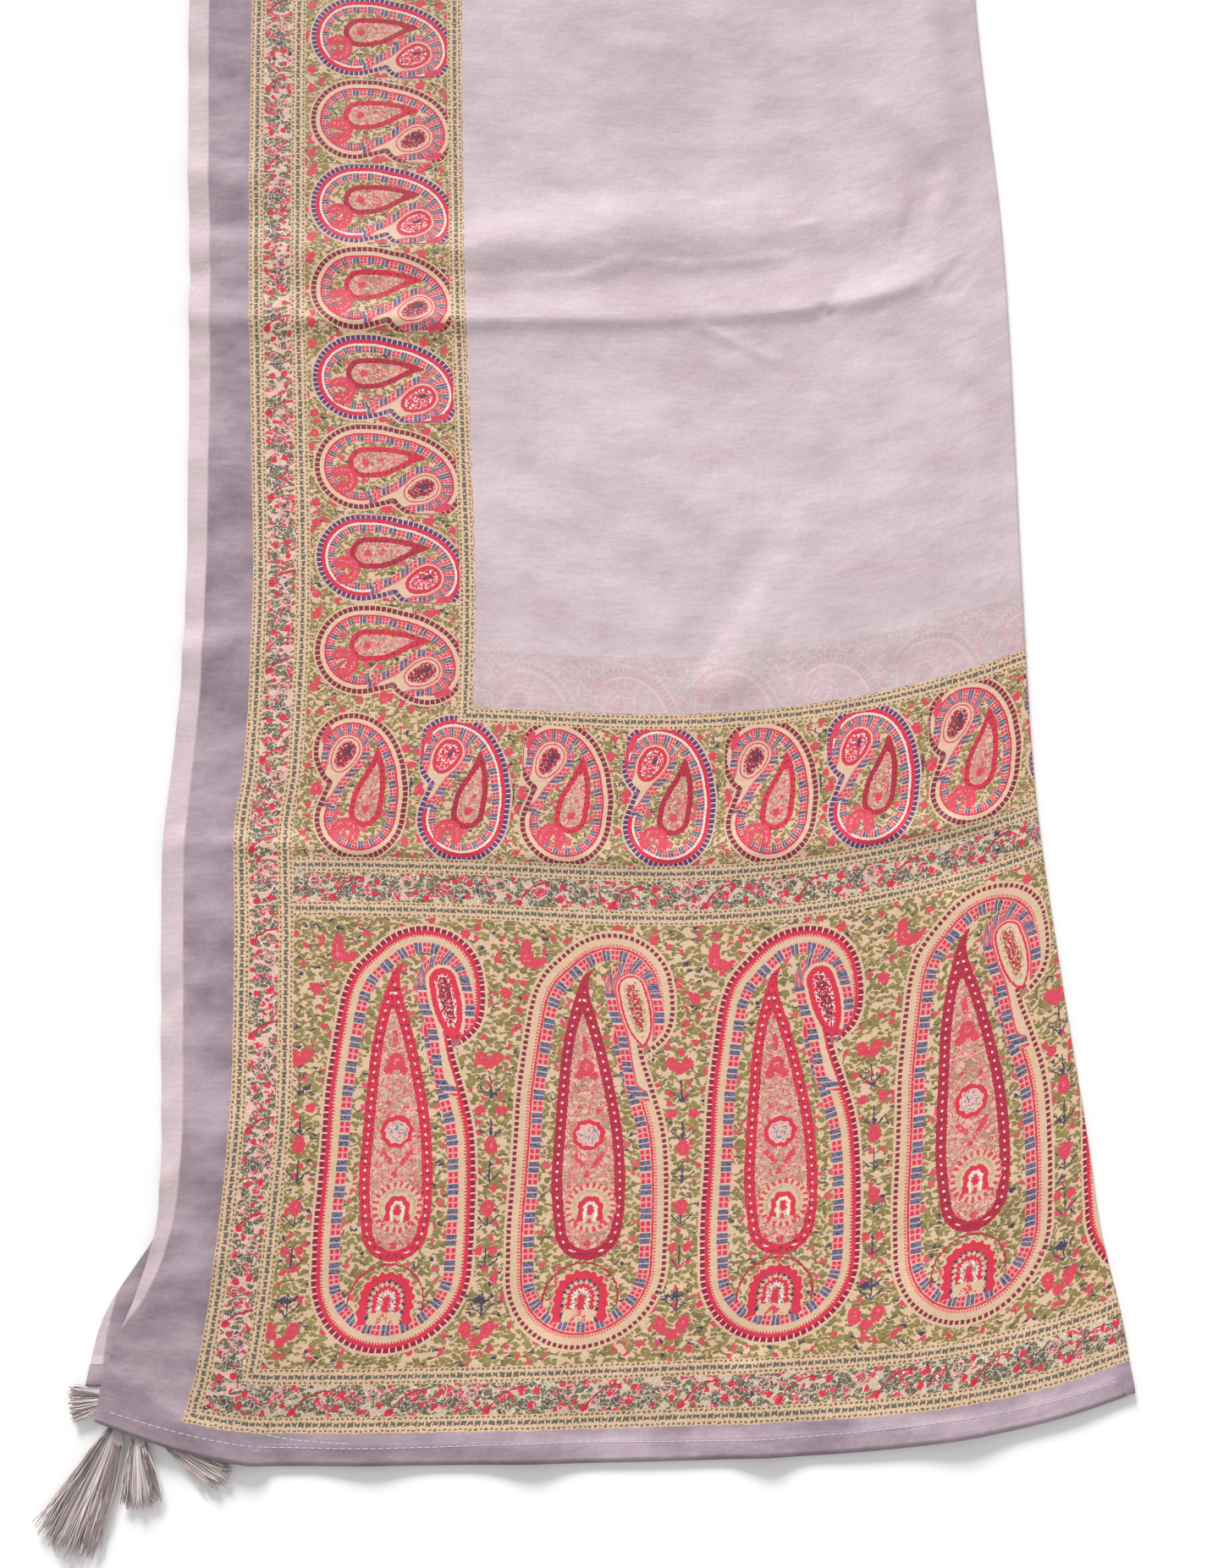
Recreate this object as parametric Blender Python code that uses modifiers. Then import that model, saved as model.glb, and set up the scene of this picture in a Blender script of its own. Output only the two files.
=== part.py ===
"""A printed silk dupatta, folded once along its length and laid flat, with two tassels at each corner.

Metres, +Z up. The cloth runs away from the viewer along +Y, open edges on the left and its fold on the right.
Run it with blender --background --python part.py, or from Blender's text editor.
"""

import math

import bmesh
import bpy
from mathutils import Matrix, Vector

# The cut cloth, and the wall that stands for it
CLOTH_LENGTH = 2.30
CLOTH_WALL = 0.0010
LEAF_GAP = 0.0004
HEM_DEPTH = 0.010
HEM_EXTRA = 0.0005
UNDER_LEAF_SHORT = 0.033
FLOOR_GAP = 0.0003

# The packing folds that cross the cloth
PANEL_COUNT = 8
FIRST_CREASE = 0.300
CREASE_SPACING = 0.2875
CREASE_HEIGHT = 0.0030
CREASE_HALF_WIDTH = 0.010

# How the cloth lies, one row for each station along it. Left and fold are the X of the upper leaf's sides.
# Corner_rise and fold_rise say how far a row's two ends lie up Y from its middle, and dip how far it hangs
# down Y between its middle and its fold. Inset is how far the under leaf's open edge lies inside the upper's.
STATION, LEFT, FOLD, CORNER_RISE, FOLD_RISE, DIP, INSET = range(7)
LAYOUT = (
    # station, left, fold, corner_rise, fold_rise, dip, inset
    (0.000, -0.2480, 0.2530, 0.021, 0.0335, -0.002, -0.007),
    (0.035, -0.2440, 0.2486, 0.012, 0.034, -0.004, -0.003),
    (0.080, -0.2310, 0.2400, 0.003, 0.033, -0.002, 0.010),
    (0.120, -0.2225, 0.2362, 0.000, 0.032, 0.000, 0.011),
    (0.205, -0.2250, 0.2262, 0.000, 0.032, 0.006, 0.011),
    (0.300, -0.2280, 0.2172, 0.000, 0.029, 0.006, 0.011),
    (0.405, -0.2220, 0.2144, 0.000, 0.031, 0.006, 0.010),
    (0.590, -0.2262, 0.2118, 0.000, 0.038, 0.003, 0.011),
    (0.760, -0.2335, 0.2014, 0.000, 0.028, 0.000, 0.011),
    (1.000, -0.2350, 0.2030, 0.000, 0.014, 0.000, 0.011),
    (1.300, -0.2300, 0.2090, 0.000, 0.004, 0.000, 0.012),
    (1.600, -0.2262, 0.2080, 0.000, -0.004, 0.000, 0.011),
    (1.900, -0.2290, 0.2120, 0.000, -0.012, 0.000, 0.011),
    (2.150, -0.2290, 0.2190, 0.000, -0.020, 0.000, 0.011),
    (2.220, -0.2320, 0.2220, -0.003, -0.023, 0.000, 0.010),
    (2.265, -0.2430, 0.2260, -0.012, -0.026, 0.000, -0.003),
    (2.300, -0.2470, 0.2290, -0.021, -0.028, 0.000, -0.007),
)
ROW_SAG = -0.004
CORNER_SHARE = 0.16
FOLD_RISE_START = 0.30
FOLD_RISE_POWER = 4
DIP_MIDDLE = 0.62
DIP_HALF_WIDTH = 0.24

# Soft folds of the upper leaf: the ends of each ridge's line, its half width and its height
FOLDS = (
    # name, x start, y start, x end, y end, half width, height
    ("double crease", -0.215, 0.622, 0.075, 0.628, 0.014, 0.0028),
    ("double crease rising", 0.060, 0.626, 0.195, 0.655, 0.012, 0.0020),
    ("fold side ripple", 0.188, 0.660, 0.170, 0.820, 0.012, 0.0032),
    ("fold side bulge", 0.195, 0.555, 0.205, 0.450, 0.013, 0.0026),
    ("field swell", 0.020, 0.500, 0.110, 0.430, 0.030, 0.0022),
    ("swell above the band", 0.105, 0.470, 0.060, 0.385, 0.016, 0.0028),
    ("band corner swell", -0.120, 0.345, -0.060, 0.318, 0.022, 0.0020),
    ("right paisley ridge", 0.176, 0.265, 0.196, 0.130, 0.014, 0.0038),
    ("right paisley trough side", 0.214, 0.250, 0.232, 0.100, 0.011, 0.0030),
    ("panel swell", 0.030, 0.220, 0.048, 0.070, 0.022, 0.0026),
    ("left panel swell", -0.075, 0.200, -0.070, 0.090, 0.020, 0.0020),
    ("hem wave left", -0.128, 0.050, -0.118, -0.004, 0.018, 0.0034),
    ("hem wave middle", -0.030, 0.046, -0.040, -0.002, 0.016, 0.0040),
    ("hem pinch", 0.066, 0.040, 0.074, 0.000, 0.012, 0.0046),
    ("hem wave right", 0.150, 0.070, 0.168, 0.012, 0.018, 0.0036),
    ("margin wave low", -0.236, 0.070, -0.196, 0.092, 0.010, 0.0026),
    ("margin wave mid", -0.226, 0.130, -0.192, 0.152, 0.011, 0.0022),
    ("margin wave high", -0.222, 0.395, -0.190, 0.402, 0.014, 0.0016),
    ("margin wave top", -0.224, 0.660, -0.195, 0.664, 0.014, 0.0024),
    ("far field swell one", -0.100, 0.980, 0.060, 1.020, 0.030, 0.0026),
    ("far fold ripple one", 0.178, 1.060, 0.186, 0.940, 0.013, 0.0030),
    ("far field swell two", -0.060, 1.300, 0.090, 1.270, 0.028, 0.0024),
    ("far fold ripple two", 0.186, 1.370, 0.182, 1.240, 0.013, 0.0028),
    ("far margin wave", -0.220, 1.560, -0.150, 1.585, 0.014, 0.0022),
    ("far field swell three", -0.020, 1.600, 0.140, 1.640, 0.030, 0.0026),
    ("far band ridge", 0.150, 1.960, 0.176, 1.860, 0.016, 0.0030),
    ("far panel swell", -0.090, 2.160, -0.070, 2.060, 0.022, 0.0026),
    ("far panel ridge", 0.070, 2.210, 0.090, 2.080, 0.018, 0.0030),
    ("far hem wave left", -0.110, 2.290, -0.100, 2.240, 0.016, 0.0034),
    ("far hem wave right", 0.110, 2.285, 0.090, 2.240, 0.018, 0.0036),
)

# The upper leaf rides over the tassels under its corners
TASSEL_COVER = 0.034
TASSEL_MARGIN = 0.005
TASSEL_FADE = 0.016

# The stations and columns of the loft
END_STATIONS = (0.0, 0.0095, 0.0105, 0.018, 0.028, 0.040, 0.054)
NEAR_SECTION_STEP = 0.028
FAR_SECTION_STEP = 0.096
NEAR_REACH = 0.80
UPPER_COLUMNS = (
    0.0, 0.004, 0.009, 0.015, 0.024, 0.034, 0.046, 0.060, 0.076, 0.095, 0.120, 0.148,
    0.180, 0.212, 0.245, 0.278, 0.311, 0.344, 0.372, 0.400, 0.424, 0.444, 0.458,
)  # fmt: skip
LEAF_COLUMNS_END = 0.460
UNDER_COLUMN_COUNT = 7
FOLD_ARC_STEPS = 6

# Tassels: the head is a thread-bound knob behind the skirt's root, and each lock of the skirt is one strand
HEAD_RADIUS = 0.0028
HEAD_PROFILE = (
    # back from the root, radius
    (0.0018, 0.0021),
    (0.0030, 0.0021),
    (0.0050, HEAD_RADIUS),
    (0.0070, 0.0013),
)
FLOOR_CLEARANCE = 0.0005
LOCK_GAP = 0.00014
LOCK_JOINTS = (0.5, 1.0)
TASSELS = (
    # name, head x, head y, degrees, skirt length, spread, height at the tips, locks across, locks high
    ("tassel_near_upper_1", -0.2375, 0.0150, -112.0, 0.0590, 0.0290, 0.0054, 8, 5),
    ("tassel_near_upper_2", -0.2280, 0.0095, -84.0, 0.0310, 0.0180, 0.0050, 6, 4),
    ("tassel_near_under_1", -0.2150, 0.0085, -31.0, 0.0340, 0.0150, 0.0046, 6, 4),
    ("tassel_near_under_2", -0.2440, 0.0265, -172.0, 0.0170, 0.0170, 0.0042, 6, 3),
    ("tassel_far_upper_1", -0.2375, 2.2855, 116.0, 0.0560, 0.0250, 0.0054, 6, 4),
    ("tassel_far_upper_2", -0.2255, 2.2910, 86.0, 0.0360, 0.0170, 0.0050, 5, 3),
    ("tassel_far_under_1", -0.2140, 2.2920, 33.0, 0.0350, 0.0150, 0.0046, 5, 4),
    ("tassel_far_under_2", -0.2430, 2.2735, 174.0, 0.0180, 0.0160, 0.0042, 5, 3),
)

SILK_COLOUR = (0.56, 0.47, 0.51, 1.0)
THREAD_COLOUR = (0.42, 0.36, 0.37, 1.0)


def reading(station, column):
    """A column of the layout at any station: a smooth curve through the table's rows."""
    rows = LAYOUT
    last = len(rows) - 2
    i = next((k for k in range(last) if station < rows[k + 1][STATION]), last)

    def slope(k):
        before, after = rows[max(k - 1, 0)], rows[min(k + 1, len(rows) - 1)]
        return (after[column] - before[column]) / (after[STATION] - before[STATION])

    span = rows[i + 1][STATION] - rows[i][STATION]
    t = (station - rows[i][STATION]) / span
    start, end = rows[i][column], rows[i + 1][column]
    return (
        start * (1 + 2 * t) * (1 - t) ** 2
        + end * t * t * (3 - 2 * t)
        + span * (slope(i) * t * (1 - t) ** 2 - slope(i + 1) * t * t * (1 - t))
    )


def row_rise(station, share):
    """How far a point of the upper leaf lies up Y from its station, at this share of the way to the fold."""
    corner = max(0.0, 1 - share / CORNER_SHARE) ** 1.5
    fold = max(0.0, (share - FOLD_RISE_START) / (1 - FOLD_RISE_START)) ** FOLD_RISE_POWER
    dip = math.exp(-(((share - DIP_MIDDLE) / DIP_HALF_WIDTH) ** 2))
    sag = ROW_SAG * math.cos(math.pi * station / CLOTH_LENGTH)
    ends = reading(station, CORNER_RISE) * corner + reading(station, FOLD_RISE) * fold
    return sag + ends - reading(station, DIP) * dip


def ease(value):
    value = min(1.0, max(0.0, value))
    return value * value * (3 - 2 * value)


def creases():
    return [FIRST_CREASE + k * CREASE_SPACING for k in range(PANEL_COUNT - 1)]


def fold_height(x, y, station):
    """The height that the packing creases and the soft folds give the upper leaf."""
    height = 0.0
    for k, crease in enumerate(creases()):
        uneven = 0.75 + 0.25 * math.sin(9.0 * x + 2.1 * k)
        height += CREASE_HEIGHT * uneven * math.exp(-abs(station - crease) / CREASE_HALF_WIDTH)
    for _, x0, y0, x1, y1, half_width, top in FOLDS:
        run = Vector((x1 - x0, y1 - y0))
        along = Vector((x - x0, y - y0)).dot(run) / run.length_squared
        near = min(1.0, max(0.0, along))
        off = math.hypot(x - x0 - near * run.x, y - y0 - near * run.y)
        height += top * math.exp(-((off / half_width) ** 2))
    return height


def tassel_height(x, y):
    """How high the upper leaf has to lie to pass over the tassels."""
    nearest = 1.0
    for _, x0, y0, degrees, length, spread, tip_height, _, _ in TASSELS:
        ahead = Vector((math.cos(math.radians(degrees)), math.sin(math.radians(degrees))))
        offset = Vector((x - x0, y - y0))
        reach = min(TASSEL_COVER, length, max(-HEAD_PROFILE[-1][0], offset.dot(ahead)))
        width, _ = skirt_size(spread, tip_height, max(0.0, reach) / length)
        nearest = min(nearest, (offset - ahead * reach).length - max(width, HEAD_RADIUS) - TASSEL_MARGIN)
    return (2 * HEAD_RADIUS + FLOOR_CLEARANCE + CLOTH_WALL + FLOOR_GAP) * (1 - ease(nearest / TASSEL_FADE))


def upper_point(station, column):
    """A point of the upper leaf's face. A column is a distance from the open edge, on an even leaf."""
    left, fold = reading(station, LEFT), reading(station, FOLD)
    radius = CLOTH_WALL + LEAF_GAP / 2
    share = column / LEAF_COLUMNS_END
    x = left + share * (fold - radius - left)
    y = station + row_rise(station, share)
    # The leaf drops to the floor where there's no under leaf below it
    beyond_side = ease((x - left - reading(station, INSET) + 0.007) / 0.006)
    end_distance = min(y, CLOTH_LENGTH - y) - UNDER_LEAF_SHORT
    beyond_end = ease((end_distance + 0.015) / 0.010)
    raised = max(beyond_side * beyond_end, ease((share - 0.55) / 0.25))
    rest = CLOTH_WALL + FLOOR_GAP + raised * (CLOTH_WALL + LEAF_GAP - FLOOR_GAP)
    side_fade = 1 - ease((share - 0.93) / 0.07)
    hem = HEM_EXTRA if min(station, CLOTH_LENGTH - station) < HEM_DEPTH else 0.0
    return Vector((x, y, max(rest + hem + side_fade * fold_height(x, y, station), tassel_height(x, y))))


def under_point(station, share):
    """A point of the under leaf's face, on the floor. Share runs from the fold to its open edge."""
    left, fold = reading(station, LEFT), reading(station, FOLD)
    radius = CLOTH_WALL + LEAF_GAP / 2
    x = fold - radius - share * (fold - radius - left - reading(station, INSET))
    at_fold = row_rise(station, 1.0)
    at_edge = UNDER_LEAF_SHORT * (1 - 2 * station / CLOTH_LENGTH)
    return Vector((x, station + at_fold + share * (at_edge - at_fold), 0.0))


def section(station):
    """One row of the outer face: across the upper leaf, round the fold, and back along the under leaf."""
    points = [upper_point(station, column) for column in UPPER_COLUMNS]
    top, bottom = upper_point(station, LEAF_COLUMNS_END), under_point(station, 0.0)
    middle, half = (top + bottom) / 2, (top.z - bottom.z) / 2
    for step in range(FOLD_ARC_STEPS + 1):
        angle = math.pi * step / FOLD_ARC_STEPS
        round_it = Vector((half * math.sin(angle), 0.0, half * math.cos(angle)))
        points.append(middle + round_it)
    points += [under_point(station, (k + 1) / UNDER_COLUMN_COUNT) for k in range(UNDER_COLUMN_COUNT)]
    return points


def stations():
    """Where the sections are: closer together near the viewer, with three at each crease and at each hem."""
    found = {end for at in END_STATIONS for end in (at, CLOTH_LENGTH - at)}
    for crease in creases():
        found |= {crease - CREASE_HALF_WIDTH, crease, crease + CREASE_HALF_WIDTH}
    at = END_STATIONS[-1] + NEAR_SECTION_STEP
    while at < CLOTH_LENGTH - END_STATIONS[-1]:
        if min(abs(at - other) for other in found) > CREASE_HALF_WIDTH * 0.6:
            found.add(at)
        at += NEAR_SECTION_STEP if at < NEAR_REACH else FAR_SECTION_STEP
    return sorted(found)


def material(name, colour, roughness, sheen):
    made = bpy.data.materials.new(name)
    made.use_nodes = True
    shader = made.node_tree.nodes["Principled BSDF"]
    shader.inputs["Base Color"].default_value = colour
    shader.inputs["Roughness"].default_value = roughness
    shader.inputs["Sheen Weight"].default_value = sheen
    return made


def add_object(name, mesh, finish, collection):
    made = bpy.data.objects.new(name, mesh)
    mesh.materials.append(finish)
    mesh.shade_smooth()
    collection.objects.link(made)
    return made


def cloth(collection, finish):
    """The whole cloth as one wall: a grid laid on the sections, thickened inwards."""
    rows = [section(station) for station in stations()]
    shape = bmesh.new()
    bmesh.ops.create_grid(shape, x_segments=len(rows[0]) - 1, y_segments=len(rows) - 1, size=1.0)
    shape.verts.ensure_lookup_table()
    for number, vertex in enumerate(shape.verts):
        row, column = divmod(number, len(rows[0]))
        vertex.co = rows[row][column]
    mesh = bpy.data.meshes.new("dupatta_cloth")
    shape.to_mesh(mesh)
    shape.free()
    made = add_object("dupatta_cloth", mesh, finish, collection)
    wall = made.modifiers.new("wall", "SOLIDIFY")
    wall.thickness = CLOTH_WALL
    wall.offset = -1.0
    return made


def skirt_place(tassel, across, high, along):
    """A point of the skirt. Across and high run from -1 to 1 over the bundle, along from 0 to 1."""
    _, _, _, _, length, spread, tip_height, _, _ = tassel
    width, tall = skirt_size(spread, tip_height, along)
    centre_z = (HEAD_RADIUS + FLOOR_CLEARANCE) * (1 - along) + (tip_height / 2 + FLOOR_CLEARANCE) * along
    reach = length * along * (1 - 0.10 * across * across) * (1 + 0.05 * math.sin(7.0 * across + 3.0 * high))
    wave = 0.0006 * math.sin(5.0 * along + 2.0 * high) * along
    return Vector((reach, width * across + wave, centre_z + tall * high))


def skirt_size(spread, tip_height, along):
    """The half width and half height of the skirt's bundle."""
    open_out = along**0.8
    width = HEAD_RADIUS * 0.90 * (1 - open_out) + spread / 2 * open_out
    tall = HEAD_RADIUS * 0.80 * (1 - along) + tip_height / 2 * along
    return width, tall


def tassel_solid(tassel, collection, finish):
    """A tassel lying on its side. A grid of cells closes its head, and each cell is drawn out as one lock."""
    name, x, y, degrees, _, spread, tip_height, across_count, high_count = tassel
    shape = bmesh.new()
    bmesh.ops.create_grid(shape, x_segments=across_count, y_segments=high_count, size=1.0)
    cells = {}
    for face in shape.faces:
        centre = face.calc_center_median()
        cells[face] = (centre.x, centre.y)
    rim = [edge for edge in shape.edges if edge.is_boundary]
    centre = Vector((0.0, 0.0, HEAD_RADIUS + FLOOR_CLEARANCE))
    for vertex in shape.verts:
        a, b = vertex.co.x, vertex.co.y
        disc = Vector((0.0, a * math.sqrt(1 - b * b / 2), b * math.sqrt(1 - a * a / 2)))
        vertex.co = centre + HEAD_RADIUS * 0.96 * disc
    # The head, drawn back from the rim: the binding's neck, the knob, and its closed end
    for back, radius in HEAD_PROFILE:
        grown = bmesh.ops.extrude_edge_only(shape, edges=rim)["geom"]
        for vertex in [g for g in grown if isinstance(g, bmesh.types.BMVert)]:
            outward = Vector((0.0, vertex.co.y, vertex.co.z - centre.z)).normalized()
            vertex.co = centre + outward * radius + Vector((-back, 0.0, 0.0))
        rim = [g for g in grown if isinstance(g, bmesh.types.BMEdge) and g.is_boundary]
    bmesh.ops.edgeloop_fill(shape, edges=rim)
    # Each cell's middle becomes a lock, so that the locks stand apart from their roots on
    bmesh.ops.inset_individual(shape, faces=list(cells), thickness=LOCK_GAP)
    for face, (across, high) in cells.items():
        lock, sideways, upward = face, Vector((0.0, 1.0, 0.0)), Vector((0.0, 0.0, 1.0))
        before = skirt_size(spread, tip_height, 0.0)
        for along in LOCK_JOINTS:
            lock = bmesh.ops.extrude_discrete_faces(shape, faces=[lock])["faces"][0]
            place = skirt_place(tassel, across, high, along)
            heading = (place - skirt_place(tassel, across, high, along - 0.02)).normalized()
            turned = Vector((-heading.y, heading.x, 0.0)).normalized()
            raised = heading.cross(turned)
            after = skirt_size(spread, tip_height, along)
            start = lock.calc_center_median()
            for vertex in lock.verts:
                offset = vertex.co - start
                wide = offset.dot(sideways) * after[0] / before[0]
                high_up = offset.dot(upward) * after[1] / before[1]
                vertex.co = place + turned * wide + raised * high_up
            sideways, upward, before = turned, raised, after
    bmesh.ops.recalc_face_normals(shape, faces=shape.faces)
    shape.transform(Matrix.Translation((x, y, 0.0)) @ Matrix.Rotation(math.radians(degrees), 4, "Z"))
    mesh = bpy.data.meshes.new(name)
    shape.to_mesh(mesh)
    shape.free()
    return add_object(name, mesh, finish, collection)


def centre_on_origin(objects):
    """Moves everything so that the box's underside is centred on the origin."""
    bpy.context.view_layer.update()
    graph = bpy.context.evaluated_depsgraph_get()
    corners = []
    for made in objects:
        mesh = made.evaluated_get(graph).to_mesh()
        corners += [made.matrix_world @ vertex.co for vertex in mesh.vertices]
    low = Vector(min(c[k] for c in corners) for k in range(3))
    high = Vector(max(c[k] for c in corners) for k in range(3))
    shift = Vector((-(low.x + high.x) / 2, -(low.y + high.y) / 2, -low.z))
    for made in objects:
        made.data.transform(Matrix.Translation(shift))
    print("layout shift", [round(value, 5) for value in shift])


def main():
    for leftover in list(bpy.data.objects):
        bpy.data.objects.remove(leftover, do_unlink=True)
    collection = bpy.data.collections.new("dupatta")
    bpy.context.scene.collection.children.link(collection)
    silk = material("silk", SILK_COLOUR, 0.45, 0.4)
    thread = material("tassel thread", THREAD_COLOUR, 0.6, 0.3)
    made = [cloth(collection, silk)]
    made += [tassel_solid(tassel, collection, thread) for tassel in TASSELS]
    centre_on_origin(made)


main()
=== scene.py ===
"""A printed silk dupatta, folded once along its length and laid flat, with tassels at its corners."""

import math

import bmesh
import bpy
import numpy as np
from mathutils import Matrix, Vector


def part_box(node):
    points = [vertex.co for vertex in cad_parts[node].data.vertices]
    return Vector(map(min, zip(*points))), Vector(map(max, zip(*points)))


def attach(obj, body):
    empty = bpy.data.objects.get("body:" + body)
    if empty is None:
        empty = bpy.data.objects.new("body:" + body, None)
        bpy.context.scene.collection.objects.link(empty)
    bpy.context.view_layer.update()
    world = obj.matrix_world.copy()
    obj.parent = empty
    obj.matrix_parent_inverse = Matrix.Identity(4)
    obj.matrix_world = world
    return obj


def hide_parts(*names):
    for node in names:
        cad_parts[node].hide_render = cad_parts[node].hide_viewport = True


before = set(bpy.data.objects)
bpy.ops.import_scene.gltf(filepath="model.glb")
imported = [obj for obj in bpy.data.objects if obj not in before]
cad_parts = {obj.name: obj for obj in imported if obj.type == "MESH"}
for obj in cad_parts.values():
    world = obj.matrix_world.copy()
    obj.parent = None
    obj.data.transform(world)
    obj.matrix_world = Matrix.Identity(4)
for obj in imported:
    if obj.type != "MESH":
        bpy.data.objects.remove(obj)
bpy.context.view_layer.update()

# THE CLOTH AS IT LIES
# One length of light silk, 0.92 x 2.30 m, folded once down its middle, with its open edges on the left and
# its fold on the right. It was stored folded small, so packing creases cross it, and its corners lie on
# tassels. In metres, x runs from the open edges to the fold and y from the near hem to the far one.
CUT = (0.92, 2.30)
CLOTH_LENGTH = CUT[1]
WALL = 0.0010
LEAF_GAP = 0.0004
FLOOR_GAP = 0.0003
UNDER_LEAF_SHORT = 0.033
UNDER_LEAF_HEIGHT = 0.0002
HEM_DEPTH = 0.010
HEM_EXTRA = 0.0005
HEM_SLOPE = 0.0012
TURNING_DROP = 0.0007

LAYOUT = np.array(
    [
        # station, left, fold, corner_rise, fold_rise, dip, inset
        (0.000, -0.2480, 0.2530, 0.021, 0.0335, -0.002, -0.007),
        (0.035, -0.2440, 0.2486, 0.012, 0.034, -0.004, -0.003),
        (0.080, -0.2310, 0.2400, 0.003, 0.033, -0.002, 0.010),
        (0.120, -0.2225, 0.2362, 0.000, 0.032, 0.000, 0.011),
        (0.205, -0.2250, 0.2262, 0.000, 0.032, 0.006, 0.011),
        (0.300, -0.2280, 0.2172, 0.000, 0.029, 0.006, 0.011),
        (0.405, -0.2220, 0.2144, 0.000, 0.031, 0.006, 0.010),
        (0.590, -0.2262, 0.2118, 0.000, 0.038, 0.003, 0.011),
        (0.760, -0.2335, 0.2014, 0.000, 0.028, 0.000, 0.011),
        (1.000, -0.2350, 0.2030, 0.000, 0.014, 0.000, 0.011),
        (1.300, -0.2300, 0.2090, 0.000, 0.004, 0.000, 0.012),
        (1.600, -0.2262, 0.2080, 0.000, -0.004, 0.000, 0.011),
        (1.900, -0.2290, 0.2120, 0.000, -0.012, 0.000, 0.011),
        (2.150, -0.2290, 0.2190, 0.000, -0.020, 0.000, 0.011),
        (2.220, -0.2320, 0.2220, -0.003, -0.023, 0.000, 0.010),
        (2.265, -0.2430, 0.2260, -0.012, -0.026, 0.000, -0.003),
        (2.300, -0.2470, 0.2290, -0.021, -0.028, 0.000, -0.007),
    ]
)
STATION, LEFT, FOLD, CORNER_RISE, FOLD_RISE, DIP, INSET = range(7)
ROW_SAG = -0.004
CORNER_SHARE = 0.16
FOLD_RISE_START = 0.30
FOLD_RISE_POWER = 4
DIP_MIDDLE = 0.62
DIP_HALF_WIDTH = 0.24
LEAF_WIDTH = 0.460
FOLD_START = 0.458
FOLD_END = 0.462
# The upper leaf steps up on to the under leaf: how far before its side or its end, and over what length
SIDE_STEP = (0.007, 0.006)
END_STEP = (0.015, 0.010)
FOLD_STEP = (0.55, 0.25)
SIDE_FADE = (0.93, 0.07)

CREASE_PITCH = 0.2875
CREASE_HEIGHT = 0.0030
CREASE_REACH = 0.010
FLUTTER_HEIGHT = 0.0008
FLUTTER_REACH = 0.014
SWELL_HEIGHT = 0.0005
CREASES = [0.300 + k * CREASE_PITCH for k in range(7)]
FOLDS = (
    # x start, y start, x end, y end, near width, far width, height
    (-0.215, 0.622, 0.075, 0.628, 0.014, 0.014, 0.0028),
    (0.060, 0.626, 0.195, 0.655, 0.012, 0.012, 0.0020),
    (0.188, 0.660, 0.170, 0.820, 0.012, 0.012, 0.0032),
    (0.195, 0.555, 0.205, 0.450, 0.013, 0.013, 0.0026),
    (0.020, 0.500, 0.110, 0.430, 0.030, 0.030, 0.0022),
    (0.105, 0.470, 0.060, 0.385, 0.016, 0.016, 0.0028),
    (-0.120, 0.345, -0.060, 0.318, 0.022, 0.022, 0.0020),
    (0.176, 0.265, 0.196, 0.130, 0.014, 0.014, 0.0038),
    (0.214, 0.250, 0.232, 0.100, 0.011, 0.011, 0.0030),
    (0.030, 0.220, 0.048, 0.070, 0.022, 0.022, 0.0026),
    (-0.075, 0.200, -0.070, 0.090, 0.020, 0.020, 0.0020),
    (-0.128, 0.050, -0.118, -0.004, 0.018, 0.018, 0.0034),
    (-0.030, 0.046, -0.040, -0.002, 0.016, 0.016, 0.0040),
    (0.066, 0.040, 0.074, 0.000, 0.012, 0.012, 0.0046),
    (0.150, 0.070, 0.168, 0.012, 0.018, 0.018, 0.0036),
    (-0.236, 0.070, -0.196, 0.092, 0.010, 0.010, 0.0026),
    (-0.226, 0.130, -0.192, 0.152, 0.011, 0.011, 0.0022),
    (-0.222, 0.395, -0.190, 0.402, 0.014, 0.014, 0.0016),
    (-0.224, 0.660, -0.195, 0.664, 0.014, 0.014, 0.0024),
    (-0.100, 0.980, 0.060, 1.020, 0.030, 0.030, 0.0026),
    (0.178, 1.060, 0.186, 0.940, 0.013, 0.013, 0.0030),
    (-0.060, 1.300, 0.090, 1.270, 0.028, 0.028, 0.0024),
    (0.186, 1.370, 0.182, 1.240, 0.013, 0.013, 0.0028),
    (-0.220, 1.560, -0.150, 1.585, 0.014, 0.014, 0.0022),
    (-0.020, 1.600, 0.140, 1.640, 0.030, 0.030, 0.0026),
    (0.150, 1.960, 0.176, 1.860, 0.016, 0.016, 0.0030),
    (-0.090, 2.160, -0.070, 2.060, 0.022, 0.022, 0.0026),
    (0.070, 2.210, 0.090, 2.080, 0.018, 0.018, 0.0030),
    (-0.110, 2.290, -0.100, 2.240, 0.016, 0.016, 0.0034),
    (0.110, 2.285, 0.090, 2.240, 0.018, 0.018, 0.0036),
)
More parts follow.
